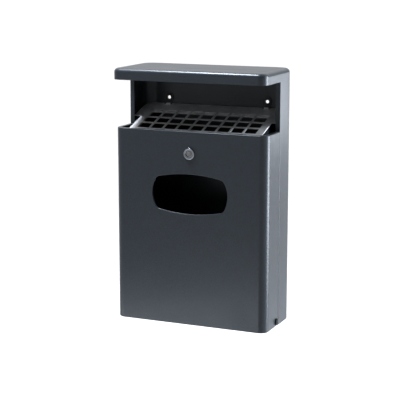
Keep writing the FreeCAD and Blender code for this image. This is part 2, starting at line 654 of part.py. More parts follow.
def is_opening_front_edge(edge):
    """Whether an edge runs round the waste opening on the cover's face."""
    box = edge.BoundBox
    on_face = abs(box.YMin + COVER_DEPTH) < TOUCH and abs(box.YMax + COVER_DEPTH) < TOUCH
    reach_x = OPENING_HALF_WIDTH + OPENING_BOW_SIDE + 1
    reach_z = OPENING_HALF_HEIGHT + OPENING_BOW_TOP + 1
    inside_x = box.XMin > -reach_x and box.XMax < reach_x
    inside_z = box.ZMin > OPENING_Z - reach_z and box.ZMax < OPENING_Z + reach_z
    return on_face and inside_x and inside_z


def tray_rivet_places():
    """The rivets that hold the tray to the cover's foot flange, as (x, y)."""
    flange_middle = (SHEET + FOOT_FLANGE) / 2
    front_y = flange_middle - COVER_DEPTH
    side_x = HALF - flange_middle
    side_y = (TRAY_STEP_Y + FRONT_RADIUS - COVER_DEPTH) / 2
    spread = HALF - 2 * FRONT_RADIUS - FOOT_FLANGE
    return [(-side_x, side_y), (-spread, front_y), (0, front_y), (spread, front_y), (side_x, side_y)]


def stay_profile():
    """Side view of the tray's upstand with its stay, slotted round the pivot."""
    start = math.radians(STAY_ANGLE - TILT_DEGREES - STAY_MARGIN_DEGREES)
    end = math.radians(STAY_ANGLE + STAY_MARGIN_DEGREES)
    band = arc_band(STAY_RADIUS - STAY_HALF_BAND, STAY_RADIUS + STAY_HALF_BAND, start, end)
    upstand = outline([(TRAY_STEP_Y, HEM, 0), (TRAY_BACK_Y, HEM, 0),
                       (TRAY_BACK_Y, HEM + TRAY_UPSTAND, TRAY_CORNER),
                       (TRAY_STEP_Y, HEM + TRAY_UPSTAND, TRAY_CORNER)])
    slot_half = STUD_RADIUS + BOLT_PLAY
    slot_start = math.radians(STAY_ANGLE - TILT_DEGREES)
    slot_end = math.radians(STAY_ANGLE)
    slot = arc_band(STAY_RADIUS - slot_half, STAY_RADIUS + slot_half, slot_start, slot_end)
    thick = TRAY_HALF - SHEET
    plate = prism_x(upstand, thick, TRAY_HALF).fuse(prism_x(band, thick, TRAY_HALF))
    cuts = [prism_x(slot, thick - CUT, TRAY_HALF + CUT)]
    for angle in (slot_start, slot_end):
        y = PIVOT_Y + STAY_RADIUS * math.cos(angle)
        z = PIVOT_HEIGHT + STAY_RADIUS * math.sin(angle)
        cuts.append(rod((thick - CUT, y, z), (TRAY_HALF + CUT, y, z), slot_half))
    return plate.cut(cuts)


def arc_band(inner, outer, start, end):
    """A face in (y, z): the part of a ring about the pivot between two angles."""
    middle = (start + end) / 2

    def at(radius, angle):
        return V(PIVOT_Y + radius * math.cos(angle), PIVOT_HEIGHT + radius * math.sin(angle), 0)
    edges = [
        Part.Arc(at(outer, start), at(outer, middle), at(outer, end)).toShape(),
        Part.LineSegment(at(outer, end), at(inner, end)).toShape(),
        Part.Arc(at(inner, end), at(inner, middle), at(inner, start)).toShape(),
        Part.LineSegment(at(inner, start), at(outer, start)).toShape(),
    ]
    return Part.Face(Part.Wire(edges))


def cover_tray():
    """The floor that tilts with the cover and carries the liner, with a slotted stay each side."""
    front_half = INSIDE - REST_GAP
    front_y = COVER_INSIDE_Y + REST_GAP
    front_radius = FRONT_RADIUS - SHEET - REST_GAP
    tray = plan_block(front_half, front_y, TRAY_STEP_Y, HEM, TRAY_TOP, front_radius, 0)
    tray = tray.fuse(plan_block(TRAY_HALF, TRAY_STEP_Y, TRAY_BACK_Y, HEM, TRAY_TOP, 0, 0))
    stay = stay_profile()
    tray = tray.fuse([stay, mirrored(stay)])
    holes = [rod((x, y, 0), (x, y, TRAY_TOP + CUT), RIVET_RADIUS + RUNNING) for x, y in tray_rivet_places()]
    return tray.cut(holes).removeSplitter()


def tray_rivets():
    """Rivets through the tray and the cover's foot flange, flush below."""
    rivets = []
    for x, y in tray_rivet_places():
        rivets.append(rivet((x, y, 0), (x, y, TRAY_TOP), RIVET_RADIUS, RIVET_HEAD_RADIUS))
    return Part.makeCompound(rivets)


def rivet(tail, seat, radius, head_radius):
    """A rivet from its flush tail to its seat, with a low domed head beyond the seat."""
    axis = (V(*seat) - V(*tail)).normalize()
    top = V(*seat) + axis * RIVET_HEAD_HEIGHT
    head = cone(seat, top, head_radius, head_radius / 2)
    return rod(tail, seat, radius).fuse(head)


def stay_stud():
    """Right-hand stud that the stay's slot runs on, welded to the wing."""
    tip = TRAY_HALF - SHEET - REST_GAP - STUD_WASHER_THICKNESS - STUD_NUT_HEIGHT
    foot = rod((INSIDE, STUD_Y, STUD_Z), (INSIDE - STUD_FOOT_HEIGHT, STUD_Y, STUD_Z), STUD_FOOT_RADIUS)
    return foot.fuse(rod((INSIDE, STUD_Y, STUD_Z), (tip, STUD_Y, STUD_Z), STUD_RADIUS))


def stay_washer():
    """Right-hand washer between the stay and the stud's nut."""
    face = TRAY_HALF - SHEET - REST_GAP
    ring = rod((face, STUD_Y, STUD_Z), (face - STUD_WASHER_THICKNESS, STUD_Y, STUD_Z), STUD_WASHER_RADIUS)
    return ring.cut(rod((face + CUT, STUD_Y, STUD_Z), (face - CUT, STUD_Y, STUD_Z), STUD_RADIUS + RUNNING))


def stay_nut():
    """Right-hand nut on the stud."""
    face = TRAY_HALF - SHEET - REST_GAP - STUD_WASHER_THICKNESS
    nut = hex_block((face, STUD_Y, STUD_Z), (face - STUD_NUT_HEIGHT, STUD_Y, STUD_Z), STUD_NUT_WIDTH)
    return nut.cut(rod((face + CUT, STUD_Y, STUD_Z), (face - CUT, STUD_Y, STUD_Z), STUD_RADIUS + RUNNING))


# ---- lock ------------------------------------------------------------------------------------
def lock_rod(front, back, radius):
    """A cylinder on the lock's axis between two depths."""
    return rod((0, front, LOCK_Z), (0, back, LOCK_Z), radius)


LOCK_FACE_Y = -COVER_DEPTH - LOCK_HEAD_HEIGHT
LOCK_RECESS_Y = LOCK_FACE_Y + LOCK_RECESS_DEPTH
LOCK_BARREL_END = CAM_FRONT_Y - 2 * CAM_GAP


def lock_housing():
    """The lock's body: a round polished head, a recess for the key and the barrel behind it."""
    head = lock_rod(LOCK_FACE_Y, -COVER_DEPTH, LOCK_HEAD_RADIUS)
    head = rounded(head, LOCK_HEAD_ROUND, lambda edge: edge.BoundBox.YMax < LOCK_FACE_Y + TOUCH)
    barrel = lock_rod(-COVER_DEPTH, LOCK_BARREL_END, LOCK_BARREL_RADIUS)
    recess = lock_rod(LOCK_FACE_Y - CUT, LOCK_RECESS_Y, LOCK_RECESS_RADIUS)
    bore = lock_rod(LOCK_FACE_Y - CUT, LOCK_BARREL_END + CUT, LOCK_BORE_RADIUS + RUNNING)
    return head.fuse(barrel).cut([recess, bore]).removeSplitter()


def lock_washer():
    """A flat washer behind the cover."""
    ring = lock_rod(COVER_INSIDE_Y, COVER_INSIDE_Y + LOCK_WASHER_THICKNESS, LOCK_WASHER_RADIUS)
    return ring.cut(lock_rod(COVER_INSIDE_Y - CUT, COVER_INSIDE_Y + CUT, LOCK_BARREL_RADIUS + BOLT_PLAY))


def lock_nut():
    """The nut that clamps the lock to the cover."""
    seat = COVER_INSIDE_Y + LOCK_WASHER_THICKNESS
    nut = hex_block((0, seat, LOCK_Z), (0, seat + LOCK_NUT_HEIGHT, LOCK_Z), LOCK_NUT_WIDTH)
    return nut.cut(lock_rod(seat - CUT, seat + LOCK_NUT_HEIGHT + CUT, LOCK_BARREL_RADIUS + RUNNING))


def lock_spindle():
    """The turning core: three-sided for the key, round in the barrel, square in the cam."""
    collar_front = LOCK_RECESS_Y - RUNNING - SPINDLE_COLLAR_HEIGHT
    shaft_end = LOCK_BARREL_END + CAM_GAP
    square_end = CAM_FRONT_Y + CAM_THICKNESS
    spindle = lock_rod(collar_front, LOCK_RECESS_Y - RUNNING, SPINDLE_COLLAR_RADIUS)
    spindle = spindle.fuse(lock_rod(LOCK_RECESS_Y - RUNNING, shaft_end, LOCK_BORE_RADIUS))
    corner = KEY_SIDE / math.sqrt(3)
    triangle = []
    for index in range(3):
        angle = math.radians(90 + 120 * index)
        triangle.append((corner * math.cos(angle), LOCK_Z + corner * math.sin(angle), KEY_ROUND))
    spindle = spindle.fuse(prism_y(outline(triangle), collar_front - KEY_HEIGHT, collar_front))
    half = SPINDLE_SQUARE / 2
    square = block((-half, shaft_end, LOCK_Z - half), (half, square_end, LOCK_Z + half))
    dimple = lock_rod(collar_front - KEY_HEIGHT - CUT, collar_front, KEY_DIMPLE_RADIUS)
    thread = lock_rod(square_end - CAM_SCREW_LENGTH, square_end + CUT, CAM_SCREW_RADIUS + RUNNING)
    return spindle.fuse(square).cut([dimple, thread]).removeSplitter()


def lock_cam():
    """The cam: a strip with a square hole. It hangs down when the lock is open."""
    half = CAM_WIDTH / 2
    top = LOCK_Z + half
    tip = LOCK_Z - CAM_REACH
    strip = outline([(half, tip, 0), (half, top, half), (-half, top, half), (-half, tip, 0)])
    cam = prism_y(strip, CAM_FRONT_Y, CAM_FRONT_Y + CAM_THICKNESS)
    hole = SPINDLE_SQUARE / 2 + RUNNING
    square = block((-hole, CAM_FRONT_Y - CUT, LOCK_Z - hole), (hole, CAM_FRONT_Y + CUT, LOCK_Z + hole))
    return cam.cut(square)


def cam_screw():
    """The screw that holds the cam on the spindle."""
    seat = CAM_FRONT_Y + CAM_THICKNESS
    head = hex_block((0, seat, LOCK_Z), (0, seat + CAM_SCREW_HEAD_HEIGHT, LOCK_Z), CAM_SCREW_HEAD_RADIUS * 2)
    return head.fuse(lock_rod(seat + RUNNING - CAM_SCREW_LENGTH, seat, CAM_SCREW_RADIUS))


# ---- cradle and ash pan ----------------------------------------------------------------------
def grid_under(y):
    """Height of the grid's underside at one depth."""
    return GRID_BACK_Z - (GRID_BACK_Y - y) * math.tan(SLOPE) - GRID_SHEET / math.cos(SLOPE)


def pan_cradle():
    """The channel that holds the pan, with a keeper folded down and two rests folded up."""
    back = -SHEET
    low = CRADLE_Z
    floor_top = CRADLE_Z + SHEET
    half = CRADLE_HALF
    cradle = block((-half, CRADLE_FRONT_Y, low), (half, back, floor_top))
    sides_back = -CRADLE_SIDE_BACK
    sides_front = CRADLE_FRONT_Y + SHEET + FOLD_RADIUS
    side = outline([
        (sides_front, low, 0),
        (sides_back, low, 0),
        (sides_back, grid_under(sides_back) - PAN_TOP_GAP, 0),
        (sides_front, grid_under(sides_front) - PAN_TOP_GAP, 0),
    ])
    right = prism_x(side, half - SHEET, half)
    wall_half = HALF - BACK_RADIUS - CRADLE_BACK_INSET
    back_wall = block((-wall_half, back - SHEET, low), (wall_half, back, low + CRADLE_BACK_HEIGHT))
    keeper = block((-KEEPER_HALF_WIDTH, CRADLE_FRONT_Y, low - KEEPER_DROP),
                   (KEEPER_HALF_WIDTH, CRADLE_FRONT_Y + SHEET, floor_top))
    rest = block((KEEPER_HALF_WIDTH + REST_TAB_GAP, CRADLE_FRONT_Y, low),
                 (half, CRADLE_FRONT_Y + SHEET, lip_foot_z() - REST_GAP))
    cradle = cradle.fuse([right, mirrored(right), back_wall, keeper, rest, mirrored(rest)])
    notch = block((-KEEPER_NOTCH, CRADLE_FRONT_Y - CUT, low - KEEPER_DROP - CUT),
                  (KEEPER_NOTCH, CRADLE_FRONT_Y + SHEET, low))
    cuts = [notch, corner_offcut(), mirrored(corner_offcut())]
    rivet_z = CRADLE_Z + CRADLE_BACK_HEIGHT - CRADLE_RIVET_DROP
    for x, z, radius in back_wall_rivets():
        if z == rivet_z:
            cuts.append(rod((x, -CUT, z), (x, CUT, z), radius + RUNNING))
    return cradle.cut(cuts).removeSplitter()


def corner_offcut():
    """What is cut from the cradle's right back corner, to clear the shell's bend."""
    wall_half = HALF - BACK_RADIUS - CRADLE_BACK_INSET
    sides_back = -CRADLE_SIDE_BACK
    triangle = outline([(wall_half, CUT, 0), (wall_half, -SHEET - SHEET, 0),
                        (CRADLE_HALF, sides_back, 0), (CRADLE_HALF + CUT, sides_back, 0),
                        (CRADLE_HALF + CUT, CUT, 0)])
    return prism_z(triangle, CRADLE_Z - CUT, CRADLE_Z + SHEET)


def lip_foot_z():
    """Height of the foot of the lip under the grid's front edge."""
    return GRID_FRONT_Z - GRID_LIP * math.cos(SLOPE)


def cradle_rivets():
    """Rivets through the cradle's back wall and the shell's back, flush behind."""
    rivet_z = CRADLE_Z + CRADLE_BACK_HEIGHT - CRADLE_RIVET_DROP
    rivets = []
    for x, z, radius in back_wall_rivets():
        if z == rivet_z:
            rivets.append(rivet((x, 0, z), (x, -SHEET - SHEET, z), radius, RIVET_HEAD_RADIUS))
    return Part.makeCompound(rivets)


def cradle_arm():
    """Right-hand arm: a channel welded between the cradle's side and the wing."""
    foot = CRADLE_Z + ARM_DROP + SHEET / 2
    top = foot + ARM_LEG
    inner = CRADLE_HALF + SHEET / 2
    outer = INSIDE - SHEET / 2
    bend = SHEET
    path = [(inner, top, 0), (inner, foot, bend), (outer, foot, bend), (outer, top, 0)]
    front = ARM_FRONT - SEAM_DEPTH
    return prism_y(bent_strip(path, SHEET), front, front + ARM_LENGTH)


def ash_pan():
    """The loose pan: a welded box whose edge follows the grid's slope."""
    half = CRADLE_HALF - SHEET - PAN_SIDE_GAP
    front = CRADLE_FRONT_Y + SHEET + PAN_FRONT_GAP
    back = -SHEET - PAN_BACK_GAP
    low = CRADLE_Z + SHEET + REST_GAP
    high = grid_under(back) - PAN_TOP_GAP
    outer = plan_block(half, front, back, low, high, PAN_CORNER, PAN_CORNER)
    inner = plan_block(half - PAN_SHEET, front + PAN_SHEET, back - PAN_SHEET, low + PAN_SHEET, high + CUT,
                       PAN_CORNER - PAN_SHEET, PAN_CORNER - PAN_SHEET)
    above = outline([(front - CUT, grid_under(front - CUT) - PAN_TOP_GAP, 0),
                     (back + CUT, grid_under(back + CUT) - PAN_TOP_GAP, 0),
                     (back + CUT, high + 2 * CUT, 0), (front - CUT, high + 2 * CUT, 0)])
    return outer.cut([inner, prism_x(above, -HALF, HALF)])


def cover_buffer():
    """Right-hand rubber buffer on the cradle's rest, where the shut cover comes to stand."""
    z = CRADLE_Z + BUFFER_RISE
    tip = COVER_INSIDE_Y + REST_GAP
    buffer = cone((BUFFER_X, CRADLE_FRONT_Y, z), (BUFFER_X, tip, z), BUFFER_RADIUS, BUFFER_TIP_RADIUS)
    return rounded(buffer, BUFFER_ROUND, lambda edge: edge.BoundBox.YMax < tip + TOUCH)


# ---- ash grid --------------------------------------------------------------------------------
def grid_to_place(shape):
    """Move a shape drawn flat, with the grid's back edge at y = 0 and its top at z = 0."""
    turned = shape.copy()
    turned.rotate(ZERO, TO_X, GRID_SLOPE)
    return turned.translated(V(0, GRID_BACK_Y, GRID_BACK_Z))


def grid_windows():
    """The square holes in rows and columns, and the row of slits behind them."""
    pitch = (2 * CRADLE_HALF - 2 * GRID_BORDER + GRID_BAR) / GRID_COLUMNS
    hole_width = pitch - GRID_BAR
    rows = [(GRID_FIRST_ROW - GRID_BAR, GRID_SLIT)]
    for row in range(GRID_ROWS):
        front = GRID_FIRST_ROW + row * GRID_ROW_PITCH + GRID_ROW_PITCH - GRID_BAR
        rows.append((front, GRID_ROW_PITCH - GRID_BAR))
    windows = []
    for column in range(GRID_COLUMNS):
        left = (column - GRID_COLUMNS / 2) * pitch + GRID_BAR / 2
        right = left + hole_width
        for front, length in rows:
            corners = [(right, -front), (right, length - front), (left, length - front), (left, -front)]
            face = outline([(x, y, GRID_HOLE_ROUND) for x, y in corners])
            windows.append(prism_z(face, -GRID_SHEET - CUT, CUT))
    return windows


def ash_grid():
    """The grid: a wide band at the back, the perforated front part, a lip and two knuckles."""
    band_half = INSIDE - GRID_BAND_GAP
    band_radius = BACK_RADIUS - SHEET - GRID_BAND_GAP
    face = outline([
        (band_half, -GRID_BAND_DEPTH, GRID_CORNER),
        (band_half, 0, band_radius),
        (-band_half, 0, band_radius),
        (-band_half, -GRID_BAND_DEPTH, GRID_CORNER),
        (-CRADLE_HALF, -GRID_BAND_DEPTH, GRID_CORNER),
        (-CRADLE_HALF, -GRID_LENGTH, 0),
        (CRADLE_HALF, -GRID_LENGTH, 0),
        (CRADLE_HALF, -GRID_BAND_DEPTH, GRID_CORNER),
    ])
    grid = prism_z(face, -GRID_SHEET, 0)
    lip = block((-CRADLE_HALF, -GRID_LENGTH, -GRID_LIP), (CRADLE_HALF, GRID_SHEET - GRID_LENGTH, 0))
    grid = grid.fuse(lip).removeSplitter()
    front_y = -GRID_LENGTH
    grid = rounded(grid, FOLD_RADIUS - REST_GAP,
                   lambda edge: lies_at(edge, 0) and edge.BoundBox.YMax < front_y + TOUCH)
    knuckles = []
    cuts = grid_windows()
    axis_y = -HINGE_INSET
    axis_z = -HINGE_DROP
    for side in (-1, 1):
        middle = side * HINGE_X
        low = middle - KNUCKLE_LENGTH / 2
        high = middle + KNUCKLE_LENGTH / 2
        slot = HINGE_SIDE_GAP + SHEET + HINGE_PIN_RADIUS + CHEEK_SLOT_PLAY
        slot_front = axis_y - CHEEK_RADIUS - SHEET
        cuts.append(block((low - slot, slot_front, -CUT), (low, CUT, CUT)))
        cuts.append(block((high, slot_front, -CUT), (high + slot, CUT, CUT)))
        cuts.append(block((low, axis_y, -CUT), (high, CUT, CUT)))
        knuckles.append(rod((low, axis_y, axis_z), (high, axis_y, axis_z), KNUCKLE_RADIUS))
    bores = []
    for side in (-1, 1):
        middle = side * HINGE_X
        bores.append(rod((middle - KNUCKLE_LENGTH, axis_y, axis_z),
                         (middle + KNUCKLE_LENGTH, axis_y, axis_z),
                         HINGE_PIN_RADIUS + RUNNING))
    grid = grid.cut(cuts).fuse(knuckles).cut(bores)
    return grid_to_place(grid.removeSplitter())


def bracket_rivet_xs():
    """The two rivets of the right-hand hinge bracket, between its cheeks."""
    return [HINGE_X - KNUCKLE_LENGTH / 4, HINGE_X + KNUCKLE_LENGTH / 4]


def bracket_rivet_z():
    """Height of the hinge brackets' rivets."""
    return HINGE_Z - BRACKET_DROP + BRACKET_RIVET_HEAD + SHEET


def grid_bracket():
    """Right-hand hinge bracket: a foot on the shell's back and two cheeks that hold the pin."""
    low_x = HINGE_X - KNUCKLE_LENGTH / 2 - HINGE_SIDE_GAP
    high_x = HINGE_X + KNUCKLE_LENGTH / 2 + HINGE_SIDE_GAP
    foot_z = HINGE_Z - BRACKET_DROP
    foot_top = HINGE_Z - KNUCKLE_RADIUS - 2 * REST_GAP
    foot = block((low_x - SHEET, -SHEET - SHEET, foot_z), (high_x + SHEET, -SHEET, foot_top))
    cheek = outline([
        (-SHEET, foot_z, 0),
        (-SHEET, HINGE_Z + CHEEK_RADIUS, 0),
        (HINGE_Y - CHEEK_RADIUS, HINGE_Z + CHEEK_RADIUS, CHEEK_RADIUS - REST_GAP),
        (HINGE_Y - CHEEK_RADIUS, HINGE_Z - CHEEK_RADIUS, CHEEK_RADIUS - REST_GAP),
    ])
    bracket = foot.fuse([prism_x(cheek, low_x - SHEET, low_x), prism_x(cheek, high_x, high_x + SHEET)])
    cuts = [rod((low_x - CUT, HINGE_Y, HINGE_Z), (high_x + CUT, HINGE_Y, HINGE_Z),
                HINGE_PIN_RADIUS + RUNNING)]
    for x in bracket_rivet_xs():
        z = bracket_rivet_z()
        cuts.append(rod((x, -CUT, z), (x, CUT, z), BRACKET_RIVET_RADIUS + RUNNING))
    return bracket.cut(cuts).removeSplitter()


def grid_bracket_rivets():
    """Rivets through both brackets and the shell's back, flush behind."""
    rivets = []
    for x in bracket_rivet_xs():
        z = bracket_rivet_z()
        rivets.append(rivet((x, 0, z), (x, -SHEET - SHEET, z), BRACKET_RIVET_RADIUS, BRACKET_RIVET_HEAD))
    return both_sides(rivets)


def grid_hinge_pin():
    """Right-hand hinge pin, headed outside its bracket."""
    low = HINGE_X - KNUCKLE_LENGTH / 2 - HINGE_SIDE_GAP - SHEET
    high = HINGE_X + KNUCKLE_LENGTH / 2 + HINGE_SIDE_GAP + SHEET
    pin = rod((low, HINGE_Y, HINGE_Z), (high, HINGE_Y, HINGE_Z), HINGE_PIN_RADIUS)
    head = rod((high, HINGE_Y, HINGE_Z), (high + HINGE_PIN_RADIUS, HINGE_Y, HINGE_Z), HINGE_PIN_HEAD)
    return pin.fuse(head)


# ---- liner and handle ------------------------------------------------------------------------
def liner_bucket():
    """The loose liner: a seamed box with a rounded foot and a beaded rim."""
    low = LINER_FOOT_Z
    high = LINER_RIM_Z
    outer = plan_block(LINER_HALF, LINER_FRONT_Y, LINER_BACK_Y, low, high, LINER_CORNER, LINER_CORNER)
    outer = rounded(outer, LINER_FOOT_ROUND, lambda edge: lies_at(edge, low))
    bead = plan_block(LINER_HALF + BEAD_WIDTH, LINER_FRONT_Y - BEAD_WIDTH, LINER_BACK_Y + BEAD_WIDTH,
                      high - BEAD_HEIGHT, high, LINER_CORNER + BEAD_WIDTH, LINER_CORNER + BEAD_WIDTH)
    bead = rounded(bead, BEAD_ROUND,
                   lambda edge: lies_at(edge, high) or lies_at(edge, high - BEAD_HEIGHT))
    floor = low + LINER_SHEET
    inner = plan_block(LINER_HALF - LINER_SHEET, LINER_FRONT_Y + LINER_SHEET, LINER_BACK_Y - LINER_SHEET,
                       floor, high + CUT, LINER_CORNER - LINER_SHEET, LINER_CORNER - LINER_SHEET)
    inner = rounded(inner, LINER_FOOT_ROUND - LINER_SHEET, lambda edge: lies_at(edge, floor))
    return outer.fuse(bead).cut([inner] + ear_rivet_holes()).removeSplitter()


def ear_rivet_places():
    """The rivets of the handle's ears, as (y, z)."""
    z = LINER_RIM_Z - EAR_FOOT_DROP + EAR_FOOT / 2
    return [(HANDLE_Y - EAR_RIVET_SPACING / 2, z), (HANDLE_Y + EAR_RIVET_SPACING / 2, z)]


def ear_rivet_holes():
    """Holes right through the liner for the ears' rivets."""
    reach = LINER_HALF + CUT
    radius = BRACKET_RIVET_RADIUS + RUNNING
    return [rod((-reach, y, z), (reach, y, z), radius) for y, z in ear_rivet_places()]


def handle_ear():
    """Right-hand ear: riveted to the liner's side, joggled out so that the wire clears it."""
    foot = LINER_RIM_Z - EAR_FOOT_DROP
    inner = LINER_HALF + EAR_SHEET / 2
    outer = inner + EAR_STANDOFF
    bend = EAR_SHEET
    path = [
        (inner, foot, 0),
        (inner, foot + EAR_FOOT, bend),
        (outer, foot + EAR_FOOT + EAR_JOGGLE, bend),
        (outer, LINER_RIM_Z - EAR_TOP_DROP, 0),
    ]
    ear = prism_y(bent_strip(path, EAR_SHEET), HANDLE_Y - EAR_HALF_WIDTH, HANDLE_Y + EAR_HALF_WIDTH)
    holes = ear_rivet_holes()
    reach = LINER_HALF + 2 * CUT
    holes.append(rod((0, HANDLE_Y, HANDLE_Z), (reach, HANDLE_Y, HANDLE_Z), WIRE_RADIUS + RUNNING))
    return ear.cut(holes)


def ear_rivets():
    """Rivets through the ears and the liner's sides, heads outside."""
    rivets = []
    for y, z in ear_rivet_places():
        tail = (LINER_HALF - LINER_SHEET, y, z)
        seat = (LINER_HALF + EAR_SHEET, y, z)
        rivets.append(rivet(tail, seat, BRACKET_RIVET_RADIUS, BRACKET_RIVET_HEAD))
    return both_sides(rivets)


def handle_wire():
    """The handle: one bent wire, hooked into both ears, lying down against the liner's front."""
    arm_x = LINER_HALF + EAR_SHEET + EAR_STANDOFF + WIRE_ARM_GAP + WIRE_RADIUS
    tip_x = LINER_HALF + EAR_SHEET / 2
    corners = [V(tip_x, 0, 0), V(arm_x, 0, 0), V(arm_x, -HANDLE_ARM, 0),
               V(-arm_x, -HANDLE_ARM, 0), V(-arm_x, 0, 0), V(-tip_x, 0, 0)]
    hook_bend = WIRE_RADIUS + REST_GAP
    bends = [0, hook_bend, WIRE_BEND, WIRE_BEND, hook_bend, 0]
    edges = []
    last = corners[0]
    for index in range(1, len(corners) - 1):
        arc = rounded_corner(corners[index - 1], corners[index], corners[index + 1], bends[index])
        edges.append(Part.LineSegment(last, arc[0]).toShape())
        edges.append(Part.Arc(*arc).toShape())
        last = arc[2]
    edges.append(Part.LineSegment(last, corners[-1]).toShape())
    section = Part.Wire(Part.makeCircle(WIRE_RADIUS, corners[0], TO_X))
    wire = Part.Wire(edges).makePipeShell([section], True, True)
    return handle_to_place(wire)


def handle_grip():
    """A plastic sleeve on the middle of the handle."""
    half = GRIP_LENGTH / 2
    sleeve = rod((-half, -HANDLE_ARM, 0), (half, -HANDLE_ARM, 0), GRIP_RADIUS)
    sleeve = rounded(sleeve, RIVET_HEAD_HEIGHT, lambda edge: edge.Curve.TypeId == "Part::GeomCircle")
    bore = rod((-half - CUT, -HANDLE_ARM, 0), (half + CUT, -HANDLE_ARM, 0), WIRE_RADIUS + RUNNING)
    return handle_to_place(sleeve.cut(bore))


def handle_to_place(shape):
    """Move the handle, drawn level with its pivot at the origin, to where it droops to rest."""
    turned = shape.copy()
    turned.rotate(ZERO, TO_X, math.degrees(HANDLE_DROOP))
    return turned.translated(V(0, HANDLE_Y, HANDLE_Z))


# ---- writing the pieces ----------------------------------------------------------------------
def save(name, shape):
    """Write one node, with the origin moved to the middle of the wall holes."""
    shape.translated(TO_Z * -ORIGIN_Z).exportStep(os.path.join("parts", name + ".step"))


def main():
    os.makedirs("parts", exist_ok=True)
    save("rear_shell", rear_shell())
    save("canopy", canopy())
    save("canopy_bolts", canopy_bolts())
    save("canopy_nuts", canopy_nuts())
    save("bottom_plate", bottom_plate())
    save("wall_washers", wall_washers())
    save("pivot_lug_right", pivot_lug())
    save("pivot_lug_left", mirrored(pivot_lug()))
    save("pivot_bolts", both_sides([pivot_bolt()]))
    save("pivot_nuts", both_sides([pivot_nut()]))
    save("pivot_bushes", both_sides([pivot_bush()]))
    save("front_cover", front_cover())
    save("cover_tray", cover_tray())
    save("tray_rivets", tray_rivets())
    save("stay_studs", both_sides([stay_stud()]))
    save("stay_washers", both_sides([stay_washer()]))
    save("stay_nuts", both_sides([stay_nut()]))
    save("lock_housing", lock_housing())
    save("lock_washer", lock_washer())
    save("lock_nut", lock_nut())
    save("lock_spindle", lock_spindle())
    save("lock_cam", lock_cam())
    save("cam_screw", cam_screw())
    save("pan_cradle", pan_cradle())
    save("cradle_rivets", cradle_rivets())
    save("cradle_arm_right", cradle_arm())
    save("cradle_arm_left", mirrored(cradle_arm()))
    save("cover_buffers", both_sides([cover_buffer()]))
    save("ash_pan", ash_pan())
    save("ash_grid", ash_grid())
    save("grid_bracket_right", grid_bracket())
    save("grid_bracket_left", mirrored(grid_bracket()))
    save("grid_bracket_rivets", grid_bracket_rivets())
    save("grid_hinge_pins", both_sides([grid_hinge_pin()]))
    save("liner_bucket", liner_bucket())
    save("handle_ears", both_sides([handle_ear()]))
    save("ear_rivets", ear_rivets())
    save("handle_wire", handle_wire())
    save("handle_grip", handle_grip())


main()
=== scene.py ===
import json
import math

import bmesh
import bpy
from mathutils import Matrix, Vector


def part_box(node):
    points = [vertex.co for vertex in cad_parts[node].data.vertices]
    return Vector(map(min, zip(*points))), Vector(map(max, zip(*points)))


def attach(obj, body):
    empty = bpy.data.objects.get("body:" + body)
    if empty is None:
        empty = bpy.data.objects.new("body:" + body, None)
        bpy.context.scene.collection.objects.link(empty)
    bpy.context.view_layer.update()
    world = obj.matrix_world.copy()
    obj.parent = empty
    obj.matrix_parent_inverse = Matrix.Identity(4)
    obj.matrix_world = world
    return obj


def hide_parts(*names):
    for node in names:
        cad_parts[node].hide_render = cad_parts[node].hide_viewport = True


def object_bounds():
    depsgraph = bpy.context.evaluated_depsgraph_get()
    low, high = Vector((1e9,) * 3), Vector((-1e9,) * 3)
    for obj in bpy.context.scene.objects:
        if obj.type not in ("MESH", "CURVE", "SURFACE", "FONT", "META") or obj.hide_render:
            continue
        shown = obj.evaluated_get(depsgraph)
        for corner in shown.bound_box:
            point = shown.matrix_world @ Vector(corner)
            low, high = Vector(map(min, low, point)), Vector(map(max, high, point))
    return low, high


bl_info = {
    "name": "Wall litter bin",
    "version": (1, 0, 0),
    "blender": (4, 5, 0),
    "location": "View3D > Sidebar > Litter bin",
    "description": "Finishes a wall-mounted litter and ash bin on its packed frame",
    "category": "Object",
}

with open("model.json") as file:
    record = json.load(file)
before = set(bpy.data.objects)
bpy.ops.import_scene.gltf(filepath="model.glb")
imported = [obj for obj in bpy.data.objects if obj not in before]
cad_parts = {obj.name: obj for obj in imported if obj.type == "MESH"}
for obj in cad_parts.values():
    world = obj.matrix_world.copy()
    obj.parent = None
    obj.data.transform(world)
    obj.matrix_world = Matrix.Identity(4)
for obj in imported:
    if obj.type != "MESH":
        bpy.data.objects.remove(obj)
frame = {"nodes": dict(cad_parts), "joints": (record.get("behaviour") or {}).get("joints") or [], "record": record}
CAD_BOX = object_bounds()
TURN = 2 * math.pi
SHARP = math.radians(40)
CORNER_STEPS = 8       # flats on a rounded corner of an outline
HEX_POINTS = 24        # points round a hexagon and round the bore that it meets
CROWN_SHARE = 1.02     # of a hexagon's turned-down end to its width over flats
SAME_POINT = 1e-6      # corners this near are one corner
COVER_INSIDE = 0.1935  # from the middle to the inner face of the cover's side wall
RIVET_HEAD = 0.0013
HEX_CHAMFER = 0.0005
RIM_FOLD = 0.0014      # rounding of the fold along the cover's rim
SEAM_X = 0.1           # middle of the liner's seam
RECESS_DEPTH = 0.0025  # of the key recess in the lock's head
# Pieces of folded sheet and the rounding of their cut edges.
SHEET_EDGES = {
    **dict.fromkeys(("rear_shell", "canopy", "front_cover", "cover_tray", "bottom_plate", "pan_cradle"),
                    0.0004),
    "ash_pan": 0.0003,
    **dict.fromkeys(("pivot_lug_right", "pivot_lug_left", "cradle_arm_right", "cradle_arm_left"), 0.0004),
    **dict.fromkeys(("grid_bracket_right", "grid_bracket_left"), 0.0003),
    **dict.fromkeys(("handle_ears", "lock_cam"), 0.0004),
}
X = Vector((1, 0, 0))
Y = Vector((0, 1, 0))
Z = Vector((0, 0, 1))


